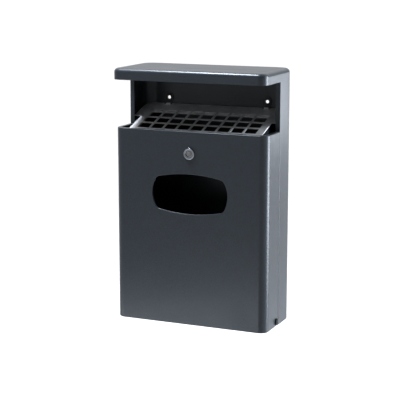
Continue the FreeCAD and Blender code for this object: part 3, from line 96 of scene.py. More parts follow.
# ---- colours and shader nodes ----------------------------------------------------------------
def linear(code):
    """A linear colour with full alpha from an sRGB hex code."""
    parts = [int(code[i:i + 2], 16) / 255 for i in (0, 2, 4)]
    return tuple(p / 12.92 if p <= 0.04045 else ((p + 0.055) / 1.055) ** 2.4 for p in parts) + (1.0,)


def add(tree, kind, inputs=None, **settings):
    """Add a node, set its properties, then fill or link its inputs by name or number."""
    made = tree.nodes.new(kind)
    for name, value in settings.items():
        setattr(made, name, value)
    for key, value in (inputs or {}).items():
        socket = made.inputs[key]
        if isinstance(value, bpy.types.NodeSocket):
            tree.links.new(value, socket)
        else:
            socket.default_value = value
    return made


def new_material(name, **constants):
    """A material with its shader and Object coordinates, ready for its pattern."""
    material = bpy.data.materials.new(name)
    material.use_nodes = True
    tree = material.node_tree
    shader = tree.nodes["Principled BSDF"]
    for key, value in constants.items():
        shader.inputs[key.replace("_", " ")].default_value = value
    place = add(tree, "ShaderNodeTexCoord").outputs["Object"]
    return material, tree, shader, place


def spread(tree, value, low, high, to_low, to_high):
    """Map a range of a pattern's values to another range."""
    inputs = {"Value": value, "From Min": low, "From Max": high, "To Min": to_low, "To Max": to_high}
    return add(tree, "ShaderNodeMapRange", inputs).outputs["Result"]


def two_tone(tree, factor, first, second):
    """A colour between two hex codes."""
    mix = add(tree, "ShaderNodeMix", {0: factor, 6: linear(first), 7: linear(second)}, data_type="RGBA")
    return mix.outputs[2]


def per_metre(size_mm):
    """A texture's scale from the real size of its features."""
    return 1000 / size_mm


def noise(tree, place, size_mm, detail, **more):
    """A cloudy pattern whose features have a real size."""
    inputs = {"Vector": place, "Scale": per_metre(size_mm), "Detail": detail, **more}
    return add(tree, "ShaderNodeTexNoise", inputs).outputs["Fac"]


def dress(tree, shader, colour, roughness):
    """Give a shader its colour and its roughness."""
    tree.links.new(colour, shader.inputs["Base Color"])
    tree.links.new(roughness, shader.inputs["Roughness"])


def relief(tree, shader, height, depth_mm, strength=1.0):
    """Raise the surface by a pattern, at most depth_mm high."""
    bump = add(tree, "ShaderNodeBump", {"Height": height, "Distance": depth_mm / 1000,
                                        "Strength": strength})
    tree.links.new(bump.outputs["Normal"], shader.inputs["Normal"])


# ---- materials -------------------------------------------------------------------------------
def powder_coated_steel():
    # Polyester powder baked on steel sheet: satin, with a fine orange peel that breaks up reflections
    # and a faint cloudiness where the film is thicker.
    p = bpy.context.scene.bin_finish
    material, tree, shader, place = new_material("powder-coated steel", Metallic=p.coat_metal,
                                                 Specular_IOR_Level=0.16)
    peel = noise(tree, place, p.peel_size, 1.0)
    cloud = noise(tree, place, 90, 3.0)
    fleck = add(tree, "ShaderNodeTexVoronoi", {"Vector": place, "Scale": per_metre(1.1)})
    cloudy = spread(tree, cloud, 0.3, 0.7, p.coat_rough - 0.03, p.coat_rough + 0.04)
    glint = spread(tree, fleck.outputs["Distance"], 0.0, 0.7, 1.0, 0.0)
    dress(tree, shader, two_tone(tree, glint, p.coat_dark, p.coat_light), cloudy)
    relief(tree, shader, peel, 0.02)
    return material


def stoved_black_steel():
    # Stoving enamel on perforated steel: flatter than the powder coat and greyed by ash dust that lies
    # thicker in patches. Painted shade: whatever lies more than a centimetre under the grid's face is
    # painted near black, standing in for the shade under the grid.
    material, tree, shader, place = new_material("stoved black steel")
    dust = noise(tree, place, 28, 5.0, Roughness=0.65)
    grit = noise(tree, place, 0.9, 2.0)
    patch = spread(tree, dust, 0.4, 0.75, 0.0, 1.0)
    slope = bpy.context.scene.bin_grid.slope
    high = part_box("ash_grid")[1]
    face = add(tree, "ShaderNodeVectorMath", {0: place, 1: (0, -math.sin(slope), math.cos(slope))},
               operation="DOT_PRODUCT").outputs["Value"]
    level = high.z * math.cos(slope)
    # painted shade: near black more than a centimetre under the grid's face, for the shade under it
    painted_shade_below_grid = spread(tree, face, level - 0.018, level - 0.012, 1.0, 0.0)
    dusty = two_tone(tree, patch, "C0C1C3", "D2D3D5")
    dust_with_painted_shade = add(tree, "ShaderNodeMix", {0: painted_shade_below_grid, 6: dusty, 7: linear("0B0B0C")}, data_type="RGBA")
    dress(tree, shader, dust_with_painted_shade.outputs[2], spread(tree, patch, 0.0, 1.0, 0.42, 0.56))
    relief(tree, shader, grit, 0.03)
    return material


def galvanised_sheet():
    # Hot-dip zinc: spangle crystals about 9 mm across, each a slightly different grey and gloss.
    material, tree, shader, place = new_material("galvanised sheet", Metallic=1.0)
    wander = add(tree, "ShaderNodeTexNoise", {"Vector": place, "Scale": per_metre(7), "Detail": 2.0})
    mixed = add(tree, "ShaderNodeVectorMath", {0: wander.outputs["Color"], 1: (0.004, 0.004, 0.004)},
                operation="MULTIPLY")
    shifted = add(tree, "ShaderNodeVectorMath", {0: place, 1: mixed.outputs[0]}, operation="ADD")
    crystal = add(tree, "ShaderNodeTexVoronoi", {"Vector": shifted.outputs[0], "Scale": per_metre(9)})
    split = add(tree, "ShaderNodeSeparateColor", {"Color": crystal.outputs["Color"]})
    dress(tree, shader, two_tone(tree, split.outputs["Red"], "83878A", "A6AAAC"),
          spread(tree, split.outputs["Green"], 0.0, 1.0, 0.38, 0.56))
    relief(tree, shader, crystal.outputs["Distance"], 0.03, 0.4)
    return material


def zinc_plated_steel():
    # Electroplated and blue-passivated: bright, with a faint warm and cold drift in the passivation.
    material, tree, shader, place = new_material("zinc-plated steel", Metallic=1.0)
    drift = noise(tree, place, 12, 2.0)
    brushed = noise(tree, place, 0.7, 2.0)
    factor = spread(tree, drift, 0.35, 0.65, 0.0, 1.0)
    dress(tree, shader, two_tone(tree, factor, "8E959D", "A19E93"),
          spread(tree, brushed, 0.3, 0.7, 0.24, 0.4))
    relief(tree, shader, brushed, 0.01, 0.5)
    return material


def polished_chrome():
    # Chrome over turned brass: mirror-bright with fine lathe rings left under the plate.
    material, tree, shader, place = new_material("polished chrome", Metallic=1.0)
    low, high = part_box("lock_housing")
    middle = (low + high) / 2
    centred = add(tree, "ShaderNodeMapping", {"Vector": place, "Location": (-middle.x, 0, -middle.z)})
    rings = add(tree, "ShaderNodeTexWave", {"Vector": centred.outputs[0], "Scale": per_metre(1.2) / 6,
                                            "Distortion": 0.3},
                wave_type="RINGS", rings_direction="Y")
    smudge = noise(tree, place, 5, 3.0)
    shader.inputs["Base Color"].default_value = linear("6E7277")
    tree.links.new(spread(tree, smudge, 0.3, 0.7, 0.08, 0.2), shader.inputs["Roughness"])
    relief(tree, shader, rings.outputs["Fac"], 0.004, 0.6)
    return material


def sintered_steel():
    # Pressed and sintered key core: dull warm grey with open pores.
    material, tree, shader, place = new_material("sintered steel", Metallic=0.85)
    pores = noise(tree, place, 0.5, 3.0)
    factor = spread(tree, pores, 0.35, 0.6, 0.0, 1.0)
    dress(tree, shader, two_tone(tree, factor, "4A4947", "6B6A67"),
          spread(tree, factor, 0.0, 1.0, 0.62, 0.42))
    relief(tree, shader, pores, 0.03)
    return material


def black_nylon_cap():
    # Moulded nylon cap on the bolt's head: near black and matt, with a trace of moulding sink.
    material, tree, shader, place = new_material("moulded black nylon", Specular_IOR_Level=0.08)
    sink = noise(tree, place, 4, 2.0)
    factor = spread(tree, sink, 0.3, 0.7, 0.0, 1.0)
    dress(tree, shader, two_tone(tree, factor, "0A0B0C", "121416"),
          spread(tree, factor, 0.0, 1.0, 0.7, 0.8))
    relief(tree, shader, sink, 0.02, 0.6)
    return material


def moulded_rubber():
    # Moulded EPDM: black with a grey bloom and a fine matt skin.
    material, tree, shader, place = new_material("moulded rubber", Sheen_Weight=0.15)
    bloom = noise(tree, place, 9, 4.0)
    skin = noise(tree, place, 0.5, 2.0)
    factor = spread(tree, bloom, 0.4, 0.75, 0.0, 1.0)
    dress(tree, shader, two_tone(tree, factor, "141415", "28292A"),
          spread(tree, factor, 0.0, 1.0, 0.7, 0.85))
    relief(tree, shader, skin, 0.03)
    return material


def natural_nylon():
    # Moulded natural nylon: milky off-white that lets a little light in.
    material, tree, shader, place = new_material("natural nylon", Subsurface_Weight=0.2)
    shader.inputs["Subsurface Radius"].default_value = (0.002, 0.0016, 0.001)
    flow = noise(tree, place, 6, 2.0)
    factor = spread(tree, flow, 0.3, 0.7, 0.0, 1.0)
    dress(tree, shader, two_tone(tree, factor, "D6D2C3", "E4E1D6"),
          spread(tree, factor, 0.0, 1.0, 0.4, 0.5))
    return material


def moulded_polypropylene():
    # Moulded grip: black polypropylene with a spark-eroded grain.
    material, tree, shader, place = new_material("moulded polypropylene")
    grain = noise(tree, place, 0.8, 3.0)
    factor = spread(tree, grain, 0.35, 0.65, 0.0, 1.0)
    dress(tree, shader, two_tone(tree, factor, "1A1B1D", "242527"),
          spread(tree, factor, 0.0, 1.0, 0.5, 0.64))
    relief(tree, shader, grain, 0.04)
    return material


def painted_floor():
    # Seamless pale studio floor, painted board with a barely visible roller texture.
    material, tree, shader, place = new_material("painted studio floor", Roughness=0.8)
    roller = noise(tree, place, 40, 3.0)
    factor = spread(tree, roller, 0.3, 0.7, 0.0, 1.0)
    tree.links.new(two_tone(tree, factor, "F2F2F2", "F6F6F6"), shader.inputs["Base Color"])
    return material


MATERIALS = {
    "powder_coat": powder_coated_steel,
    "inner_coat": powder_coated_steel,
    "grid_coat": stoved_black_steel,
    "zinc_plate": zinc_plated_steel,
    "galvanised": galvanised_sheet,
    "lock_chrome": polished_chrome,
    "lock_core": sintered_steel,
    "black_bolt": black_nylon_cap,
    "rubber": moulded_rubber,
    "nylon": natural_nylon,
    "grip_plastic": moulded_polypropylene,
    "floor": painted_floor,
}
made_materials = {}


def material_for(slot):
    """The material of a record slot, made once."""
    maker = MATERIALS[slot]
    if maker not in made_materials:
        made_materials[maker] = maker()
    return made_materials[maker]


# ---- mesh helpers ----------------------------------------------------------------------------
def slot_of(node):
    """The record's material slot of a CAD node."""
    return next(s["material_slot"] for s in frame["record"]["subparts"] if s["node"] == node)


def solids(node):
    """Lowest and highest corner of each separate solid in a CAD node."""
    work = bmesh.new()
    work.from_mesh(frame["nodes"][node].data)
    bmesh.ops.remove_doubles(work, verts=work.verts, dist=SAME_POINT)
    left = set(work.verts)
    boxes = []
    while left:
        group = [left.pop()]
        for vertex in group:
            for edge in vertex.link_edges:
                other = edge.other_vert(vertex)
                if other in left:
                    left.remove(other)
                    group.append(other)
        low = Vector([min(v.co[i] for v in group) for i in range(3)])
        high = Vector([max(v.co[i] for v in group) for i in range(3)])
        boxes.append((low, high))
    work.free()
    return sorted(boxes, key=lambda pair: tuple(pair[0]))


def body_of(node):
    """The body that a CAD node rides on."""
    bodies = frame["record"]["behaviour"]["bodies"]
    return next(body for body, members in bodies.items() if node in members)


def to_mesh(work, name):
    """Turn a bmesh into a mesh whose faces point outwards."""
    bmesh.ops.recalc_face_normals(work, faces=work.faces)
    mesh = bpy.data.meshes.new(name)
    work.to_mesh(mesh)
    work.free()
    return mesh


def to_piece(name, mesh, *nodes, smooth=math.radians(35)):
    """Link a mesh as the piece that stands for CAD nodes, with their finish and on their body."""
    mesh.name = name
    mesh.shade_smooth()
    mesh.set_sharp_from_angle(angle=smooth)
    mesh.materials.clear()
    mesh.materials.append(material_for(slot_of(nodes[0])))
    piece = bpy.data.objects.new(name, mesh)
    bpy.context.scene.collection.objects.link(piece)
    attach(piece, body_of(nodes[0]))
    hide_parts(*nodes)
    return piece


def soften(piece, width, segments=2, weighted=False):
    """Break a piece's sharp edges with a small bevel, by angle or by the weights of its edges."""
    bevel = piece.modifiers.new("Broken edges", "BEVEL")
    bevel.width = width
    bevel.segments = segments
    bevel.limit_method = "WEIGHT" if weighted else "ANGLE"
    bevel.angle_limit = SHARP
    even = piece.modifiers.new("Even shading", "WEIGHTED_NORMAL")
    even.keep_sharp = True


def weigh_edges(work, fold, cut):
    """Bevel weights for a sheet part: the outside of its top fold gets one weight, cut edges another."""
    layer = work.edges.layers.float.new("bevel_weight_edge")
    top = max(vertex.co.z for vertex in work.verts)
    middle = sum((vertex.co for vertex in work.verts), Vector()) / len(work.verts)
    for edge in work.edges:
        if len(edge.link_faces) != 2 or edge.calc_face_angle(0) < SHARP:
            continue
        edge[layer] = cut
        if min(vertex.co.z for vertex in edge.verts) > top - 1e-5:
            upright = min(edge.link_faces, key=lambda face: abs(face.normal.z))
            outward = edge.verts[0].co - middle
            if upright.normal.dot(Vector((outward.x, outward.y, 0))) > 0:
                edge[layer] = fold


def skin(work, loops, close_ends=False, join_ends=False):
    """Faces between loops of equal length, with caps or a last strip back to the first loop."""
    rings = [[work.verts.new(point) for point in loop] for loop in loops]
    count = len(rings[0])
    pairs = list(zip(rings, rings[1:]))
    if join_ends:
        pairs.append((rings[-1], rings[0]))
    for lower, upper in pairs:
        for i in range(count):
            j = (i + 1) % count
            work.faces.new((lower[i], lower[j], upper[j], upper[i]))
    if close_ends:
        work.faces.new(rings[0][::-1])
        work.faces.new(rings[-1])


def turned(work, profile, segments, centre=Vector(), axis=Z, closed=False):
    """Turn a profile of (distance along the axis, radius) about an axis."""
    turn = Z.rotation_difference(axis).to_matrix()
    loops = []
    for along, radius in profile:
        loop = []
        for i in range(segments):
            angle = TURN * i / segments
            local = Vector((radius * math.cos(angle), radius * math.sin(angle), along))
            loop.append(centre + turn @ local)
        loops.append(loop)
    skin(work, loops, close_ends=not closed, join_ends=closed)


def arc(start, end, count, radius, centre):
    """Points of (along, radius) on a quarter or other arc, for a turned profile."""
    points = []
    for i in range(count + 1):
        angle = start + (end - start) * i / count
        points.append((centre[0] + radius * math.sin(angle), centre[1] + radius * math.cos(angle)))
    return points


def rounded_plan(half_x, low_y, high_y, radius, height):
    """A rounded rectangle of points in plan."""
    corners = [
        (half_x - radius, high_y - radius, 0),
        (-half_x + radius, high_y - radius, 1),
        (-half_x + radius, low_y + radius, 2),
        (half_x - radius, low_y + radius, 3),
    ]
    points = []
    for x, y, quarter in corners:
        for i in range(CORNER_STEPS + 1):
            angle = TURN / 4 * (quarter + i / CORNER_STEPS)
            points.append(Vector((x + radius * math.cos(angle), y + radius * math.sin(angle), height)))
    return points


def eased_outline(corners, closed=True):
    """Points of an outline given as (x, y, radius) corners, with an arc of that radius at each."""
    points = []
    count = len(corners)
    for i, (x, y, radius) in enumerate(corners):
        corner = Vector((x, y))
        if radius == 0 or not closed and i in (0, count - 1):
            points.append((x, y))
            continue
        before = (Vector(corners[i - 1][:2]) - corner).normalized()
        after = (Vector(corners[(i + 1) % count][:2]) - corner).normalized()
        half_angle = before.angle(after) / 2
        centre = corner + (before + after).normalized() * radius / math.sin(half_angle)
        start = corner + before * radius / math.tan(half_angle) - centre
        turn = (math.pi - 2 * half_angle) * (1 if before.cross(after) < 0 else -1)
        for step in range(CORNER_STEPS + 1):
            angle = turn * step / CORNER_STEPS
            spun = Matrix.Rotation(angle, 2) @ start
            points.append(tuple(centre + spun))
    return points


def hex_loops(width, profile):
    """Loops of a hexagonal bar whose corners are turned down to the radii in the profile."""
    loops = []
    for along, limit in profile:
        loop = []
        for i in range(HEX_POINTS):
            angle = TURN * i / HEX_POINTS
            fold = (angle + TURN / 12) % (TURN / 6) - TURN / 12
            flat = width / 2 / math.cos(fold)
            radius = min(flat, limit)
            loop.append(Vector((radius * math.cos(angle), radius * math.sin(angle), along)))
        loops.append(loop)
    return loops


# ---- geometry nodes --------------------------------------------------------------------------
def new_tree(name, *inputs):
    """A geometry tree with its input and output, and named inputs as (name, socket type)."""
    tree = bpy.data.node_groups.new(name, "GeometryNodeTree")
    tree.interface.new_socket("Geometry", in_out="INPUT", socket_type="NodeSocketGeometry")
    tree.interface.new_socket("Geometry", in_out="OUTPUT", socket_type="NodeSocketGeometry")
    for label, kind in inputs:
        tree.interface.new_socket(label, in_out="INPUT", socket_type=kind)
    return tree, add(tree, "NodeGroupInput").outputs


def finish_tree(tree, geometry, material):
    """Realise what a tree makes, give it its material and end the tree."""
    real = add(tree, "GeometryNodeRealizeInstances", {"Geometry": geometry})
    painted = add(tree, "GeometryNodeSetMaterial", {"Geometry": real.outputs[0], "Material": material})
    add(tree, "NodeGroupOutput", {"Geometry": painted.outputs[0]})


def baked(mesh, tree, values):
    """Run a tree on a mesh with its inputs set by identifier, and return the plain mesh it makes."""
    carrier = bpy.data.objects.new(tree.name, mesh)
    bpy.context.scene.collection.objects.link(carrier)
    modifier = carrier.modifiers.new(tree.name, "NODES")
    modifier.node_group = tree
    for item in tree.interface.items_tree:
        if item.in_out == "INPUT" and item.name in values:
            modifier[item.identifier] = values[item.name]
    graph = bpy.context.evaluated_depsgraph_get()
    result = bpy.data.meshes.new_from_object(carrier.evaluated_get(graph))
    carrier.modifiers.clear()
    bpy.data.objects.remove(carrier)
    return result


def repeat_tree():
    """A tree that stands a pattern piece on every point, turned to face along its attribute."""
    tree, given = new_tree("Repeat on points", ("Pattern", "NodeSocketObject"),
                           ("Material", "NodeSocketMaterial"))
    facing = add(tree, "GeometryNodeInputNamedAttribute", {"Name": "facing"}, data_type="FLOAT_VECTOR")
    turn = add(tree, "FunctionNodeAlignRotationToVector", {"Vector": facing.outputs["Attribute"]},
               axis="Z")
    pattern = add(tree, "GeometryNodeObjectInfo", {"Object": given["Pattern"]})
    placed = add(tree, "GeometryNodeInstanceOnPoints", {"Points": given["Geometry"],
                                                        "Instance": pattern.outputs["Geometry"],
                                                        "Rotation": turn.outputs[0]})
    finish_tree(tree, placed.outputs[0], given["Material"])
    return tree


def perforated_sheet_tree():
    """A tree that fills an outline, leaves out rows of filleted holes and gives it a thickness."""
    tree, given = new_tree(
        "Perforated sheet", ("Columns", "NodeSocketInt"), ("Rows", "NodeSocketInt"),
        ("Pitch", "NodeSocketFloat"), ("Row pitch", "NodeSocketFloat"), ("Bar", "NodeSocketFloat"),
        ("Slit", "NodeSocketFloat"), ("Fillet", "NodeSocketFloat"), ("First row", "NodeSocketFloat"),
        ("Thickness", "NodeSocketFloat"), ("Material", "NodeSocketMaterial"))

    def maths(operation, first, second):
        return add(tree, "ShaderNodeMath", {0: first, 1: second}, operation=operation).outputs[0]

    def holes(height, rows, depth):
        """Rows of holes. depth is how far down the slope the middle of the rows is."""
        span_x = maths("MULTIPLY", maths("SUBTRACT", given["Columns"], 1.0), given["Pitch"])
        span_y = maths("MULTIPLY", maths("SUBTRACT", rows, 1.0), given["Row pitch"])
        lattice = add(tree, "GeometryNodeMeshGrid", {"Size X": span_x, "Size Y": span_y,
                                                     "Vertices X": given["Columns"], "Vertices Y": rows})
        down = add(tree, "ShaderNodeCombineXYZ", {"Y": maths("MULTIPLY", depth, -1.0)})
        placed = add(tree, "GeometryNodeSetPosition", {"Geometry": lattice.outputs[0],
                                                       "Offset": down.outputs[0]})
        window = add(tree, "GeometryNodeCurvePrimitiveQuadrilateral",
                     {"Width": maths("SUBTRACT", given["Pitch"], given["Bar"]), "Height": height})
        eased = add(tree, "GeometryNodeFilletCurve",
                    {"Curve": window.outputs[0], "Radius": given["Fillet"], "Count": 3}, mode="POLY")
        copies = add(tree, "GeometryNodeInstanceOnPoints", {"Points": placed.outputs[0],
                                                            "Instance": eased.outputs[0]})
        return add(tree, "GeometryNodeRealizeInstances", {"Geometry": copies.outputs[0]}).outputs[0]

    window_height = maths("SUBTRACT", given["Row pitch"], given["Bar"])
    rows_length = maths("SUBTRACT", maths("MULTIPLY", given["Rows"], given["Row pitch"]), given["Bar"])
    rows_middle = maths("ADD", given["First row"], maths("MULTIPLY", rows_length, 0.5))
    slit_middle = maths("SUBTRACT", maths("SUBTRACT", given["First row"], given["Bar"]),
                        maths("MULTIPLY", given["Slit"], 0.5))
    outline = add(tree, "GeometryNodeMeshToCurve", {"Mesh": given["Geometry"]}).outputs[0]
    joined = add(tree, "GeometryNodeJoinGeometry")
    slits = holes(given["Slit"], 1, slit_middle)
    windows = holes(window_height, given["Rows"], rows_middle)
    for curve in (slits, windows, outline):
        tree.links.new(curve, joined.inputs[0])
    face = add(tree, "GeometryNodeFillCurve", {"Curve": joined.outputs[0]}, mode="NGONS").outputs[0]
    down = maths("MULTIPLY", given["Thickness"], -1.0)
    wall = add(tree, "GeometryNodeExtrudeMesh", {"Mesh": face, "Offset": (0, 0, 1), "Offset Scale": down,
                                                 "Individual": False})
    turned_over = add(tree, "GeometryNodeFlipFaces", {"Mesh": wall.outputs[0]}).outputs[0]
    both = add(tree, "GeometryNodeJoinGeometry")
    for part in (face, turned_over):
        tree.links.new(part, both.inputs[0])
    whole = add(tree, "GeometryNodeMergeByDistance", {"Geometry": both.outputs[0],
                                                      "Distance": SAME_POINT})
    finish_tree(tree, whole.outputs[0], given["Material"])
    return tree


def repeated(name, work, places, *nodes):
    """One piece made of a pattern repeated at places given as (point, direction)."""
    pattern = bpy.data.objects.new(name + "_pattern", to_mesh(work, name + "_pattern"))
    bpy.context.scene.collection.objects.link(pattern)
    points = bpy.data.meshes.new(name)
    points.from_pydata([tuple(point) for point, _ in places], [], [])
    facing = points.attributes.new("facing", "FLOAT_VECTOR", "POINT")
    for i, (_, direction) in enumerate(places):
        facing.data[i].vector = direction
    tree = bpy.data.node_groups.get("Repeat on points") or repeat_tree()
    mesh = baked(points, tree, {"Pattern": pattern, "Material": material_for(slot_of(nodes[0]))})
    bpy.data.objects.remove(pattern)
    return to_piece(name, mesh, *nodes)


# ---- patterns for fasteners ------------------------------------------------------------------
def thread(low, high, radius, pitch):
    """A turned profile of thread crests and roots."""
    depth = pitch * 0.3
    turns = max(2, round((high - low) / pitch))
    step = (high - low) / turns
    points = []
    for i in range(turns):
        points.append((low + step * i, radius - depth))
        points.append((low + step * (i + 0.5), radius))
    points.append((high, radius - depth))
    return points


def hex_bolt(width, head, radius, length):
    """A hexagon bolt along +Z, with the underside of its head at the origin."""
    work = bmesh.new()
    crown = width / 2 * CROWN_SHARE
    skin(work, hex_loops(width, [(-head, crown), (-head + HEX_CHAMFER, width), (0, width)]),
         close_ends=True)
    turned(work, [(0, radius)] + thread(length * 0.25, length - HEX_CHAMFER, radius, 0.0009)
           + [(length, radius - 0.0007)], 20)
    return work


def hex_nut(width, height, bore, chamfer=HEX_CHAMFER):
    """A nut along +Z standing on the origin, open through its bore."""
    work = bmesh.new()
    crown = width / 2 * CROWN_SHARE
    outside = hex_loops(width, [(0, crown), (chamfer, width), (height - chamfer, width),
                                (height, crown)])
    inside = []
    angles = [TURN * i / HEX_POINTS for i in range(HEX_POINTS)]
    for along, radius in ((height, bore + chamfer / 2), (height - chamfer / 2, bore),
                          (chamfer / 2, bore), (0, bore + chamfer / 2)):
        inside.append([Vector((radius * math.cos(a), radius * math.sin(a), along)) for a in angles])
    skin(work, outside + inside, join_ends=True)
    return work


def flat_ring(thick, bore, radius, ease=0.0003):
    """A turned profile of a flat washer with eased outer edges."""
    return [(0, bore), (0, radius - ease), (ease, radius), (thick - ease, radius),
            (thick, radius - ease), (thick, bore)]


def domed_rivet(head_radius, head, radius, grip):
    """A rivet along +Z: a domed head above the origin, its shank below and a flat tail."""
    dome = []
    for i in range(7):
        angle = TURN / 4 * i / 6
        dome.append((head * math.sin(angle), max(head_radius * math.cos(angle), head_radius * 0.04)))
    work = bmesh.new()
    shank = [(-grip, radius * 0.9), (-grip + 0.0002, radius), (0, radius)]
    turned(work, shank + [(0, head_radius * 0.98)] + dome, 24)
    return work


def centre_at(pair, axis, end):
    """The centre of a solid's box, moved along an axis to its low (0) or high (1) end."""
    low, high = pair
    point = (low + high) / 2
    point[axis] = high[axis] if end else low[axis]
    return point


def sides(node, inward):
    """The outer ends of a node's solids facing the middle, or their inner ends facing outward."""
    places = []
    for pair in solids(node):
        side = 1 if pair[0].x > 0 else -1
        places.append((centre_at(pair, 0, (side > 0) == inward), X * (-side if inward else side)))
    return places


def nut_pairs(name, node, bore):
    """Nuts on both sides, standing on their outer ends and facing the middle."""
    low, high = solids(node)[0]
    width = min(high.y - low.y, high.z - low.z)
    repeated(name, hex_nut(width, high.x - low.x, bore), sides(node, inward=True), node)


# ---- properties ------------------------------------------------------------------------------
def number(name, description, default, **options):
    return bpy.props.FloatProperty(name=name, description=description, default=default, **options)


def distance(name, description, default):
    """A length in metres, shown to a tenth of a millimetre."""
    return number(name, description, default, precision=4, unit="LENGTH")


def colour(name, description, default):
    return bpy.props.StringProperty(name=name, description=description, default=default)


def count(name, description, default, **limits):
    return bpy.props.IntProperty(name=name, description=description, default=default, **limits)


class FinishSettings(bpy.types.PropertyGroup):
    coat_dark: colour("Coat", "Powder coat's main colour, sRGB hex", "191C1F")
    coat_light: colour("Coat flecks", "Powder coat's flecks, sRGB hex", "282D33")
    coat_rough: number("Coat roughness", "Roughness of the powder coat",
                       0.32, min=0, max=1, subtype="FACTOR")
    coat_metal: number("Coat metallic", "Share of metallic flake in the coat",
                       0.1, min=0, max=1, subtype="FACTOR")
    peel_size: number("Orange peel", "Size of the coat's orange peel in mm", 1.6, min=0.2)


class GridSettings(bpy.types.PropertyGroup):
    columns: count("Columns", "Columns of holes in the ash grid", 9, min=1)
    rows: count("Rows", "Rows of full holes in the ash grid", 3, min=1)
    bar: distance("Bar", "Sheet left between two holes", 0.0048)
    row_pitch: distance("Row pitch", "From one row of holes to the next", 0.0312)
    first_row: distance("First row", "Down the slope to the first full row", 0.0521)
    slit: distance("Slit", "Height of the row of slits behind the holes", 0.0065)
    border: distance("Border", "Sheet left beside the outer columns", 0.018)
    band: distance("Band", "Depth of the wide band, down the slope", 0.079)
    slope: number("Slope", "The grid's slope down to the front",
                  math.radians(18.5), subtype="ANGLE")
    sheet: distance("Sheet", "Thickness of the grid's sheet", 0.002)
    lip: distance("Lip", "Lip folded down at the front edge", 0.01)


class LinerSettings(bpy.types.PropertyGroup):
    swages: count("Swages", "Stiffening grooves rolled round the liner", 2, min=0, max=4)
    swage_depth: distance("Swage depth", "How deep the grooves are", 0.0016)
    sheet: distance("Sheet", "Thickness of the liner's sheet", 0.001)
    ribs: count("Grip ribs", "Ribs round the handle's grip", 14, min=2)


class StageSettings(bpy.types.PropertyGroup):
    drop: number("Floor drop", "Floor below the bin's underside",
                 0.9, subtype="DISTANCE", unit="LENGTH")
    floor_radius: number("Floor radius", "Reach of the floor",
                         120, subtype="DISTANCE", unit="LENGTH")
    lens: number("Lens", "Focal length in mm", 113.39)
    overhead: number("Overhead power", "Overhead softbox in watts", 112)
    back: number("Back power", "Back softbox in watts", 340)
    side: number("Side power", "Side softbox in watts", 5)
    strip: number("Strip power", "Front strip light in watts", 0.45)
    low_front: number("Low front power", "Low front softbox in watts", 3.6)
    sky_front: number("Sky in front", "Sky strength in front of the bin", 0.12)
    sky_back: number("Sky behind", "Sky strength behind the bin", 2.65)


# ---- operators -------------------------------------------------------------------------------
class BIN_OT_coat(bpy.types.Operator):
    """Give every carried-over sheet part its finish"""
    bl_idname = "bin.coat"
    bl_label = "Coat sheet parts"

    def execute(self, context):
        for name, piece in frame["nodes"].items():
            piece.data.materials.clear()
            piece.data.materials.append(material_for(slot_of(name)))
        return {"FINISHED"}


class BIN_OT_sheets(bpy.types.Operator):
    """Break the cut edges of the folded sheet parts"""
    bl_idname = "bin.sheets"
    bl_label = "Sheet parts"

    def execute(self, context):
        for node, width in SHEET_EDGES.items():
            work = bmesh.new()
            work.from_mesh(frame["nodes"][node].data)
            bmesh.ops.remove_doubles(work, verts=work.verts, dist=SAME_POINT)
            bmesh.ops.dissolve_limit(work, angle_limit=math.radians(0.3), verts=work.verts,
                                     edges=work.edges)
            if node == "front_cover":
                weigh_edges(work, 1.0, width / RIM_FOLD)
            piece = to_piece(node + "_sheet", to_mesh(work, node), node, smooth=math.radians(32))
            if node == "front_cover":
                soften(piece, RIM_FOLD, 3, weighted=True)
            else:
                soften(piece, width)
        return {"FINISHED"}


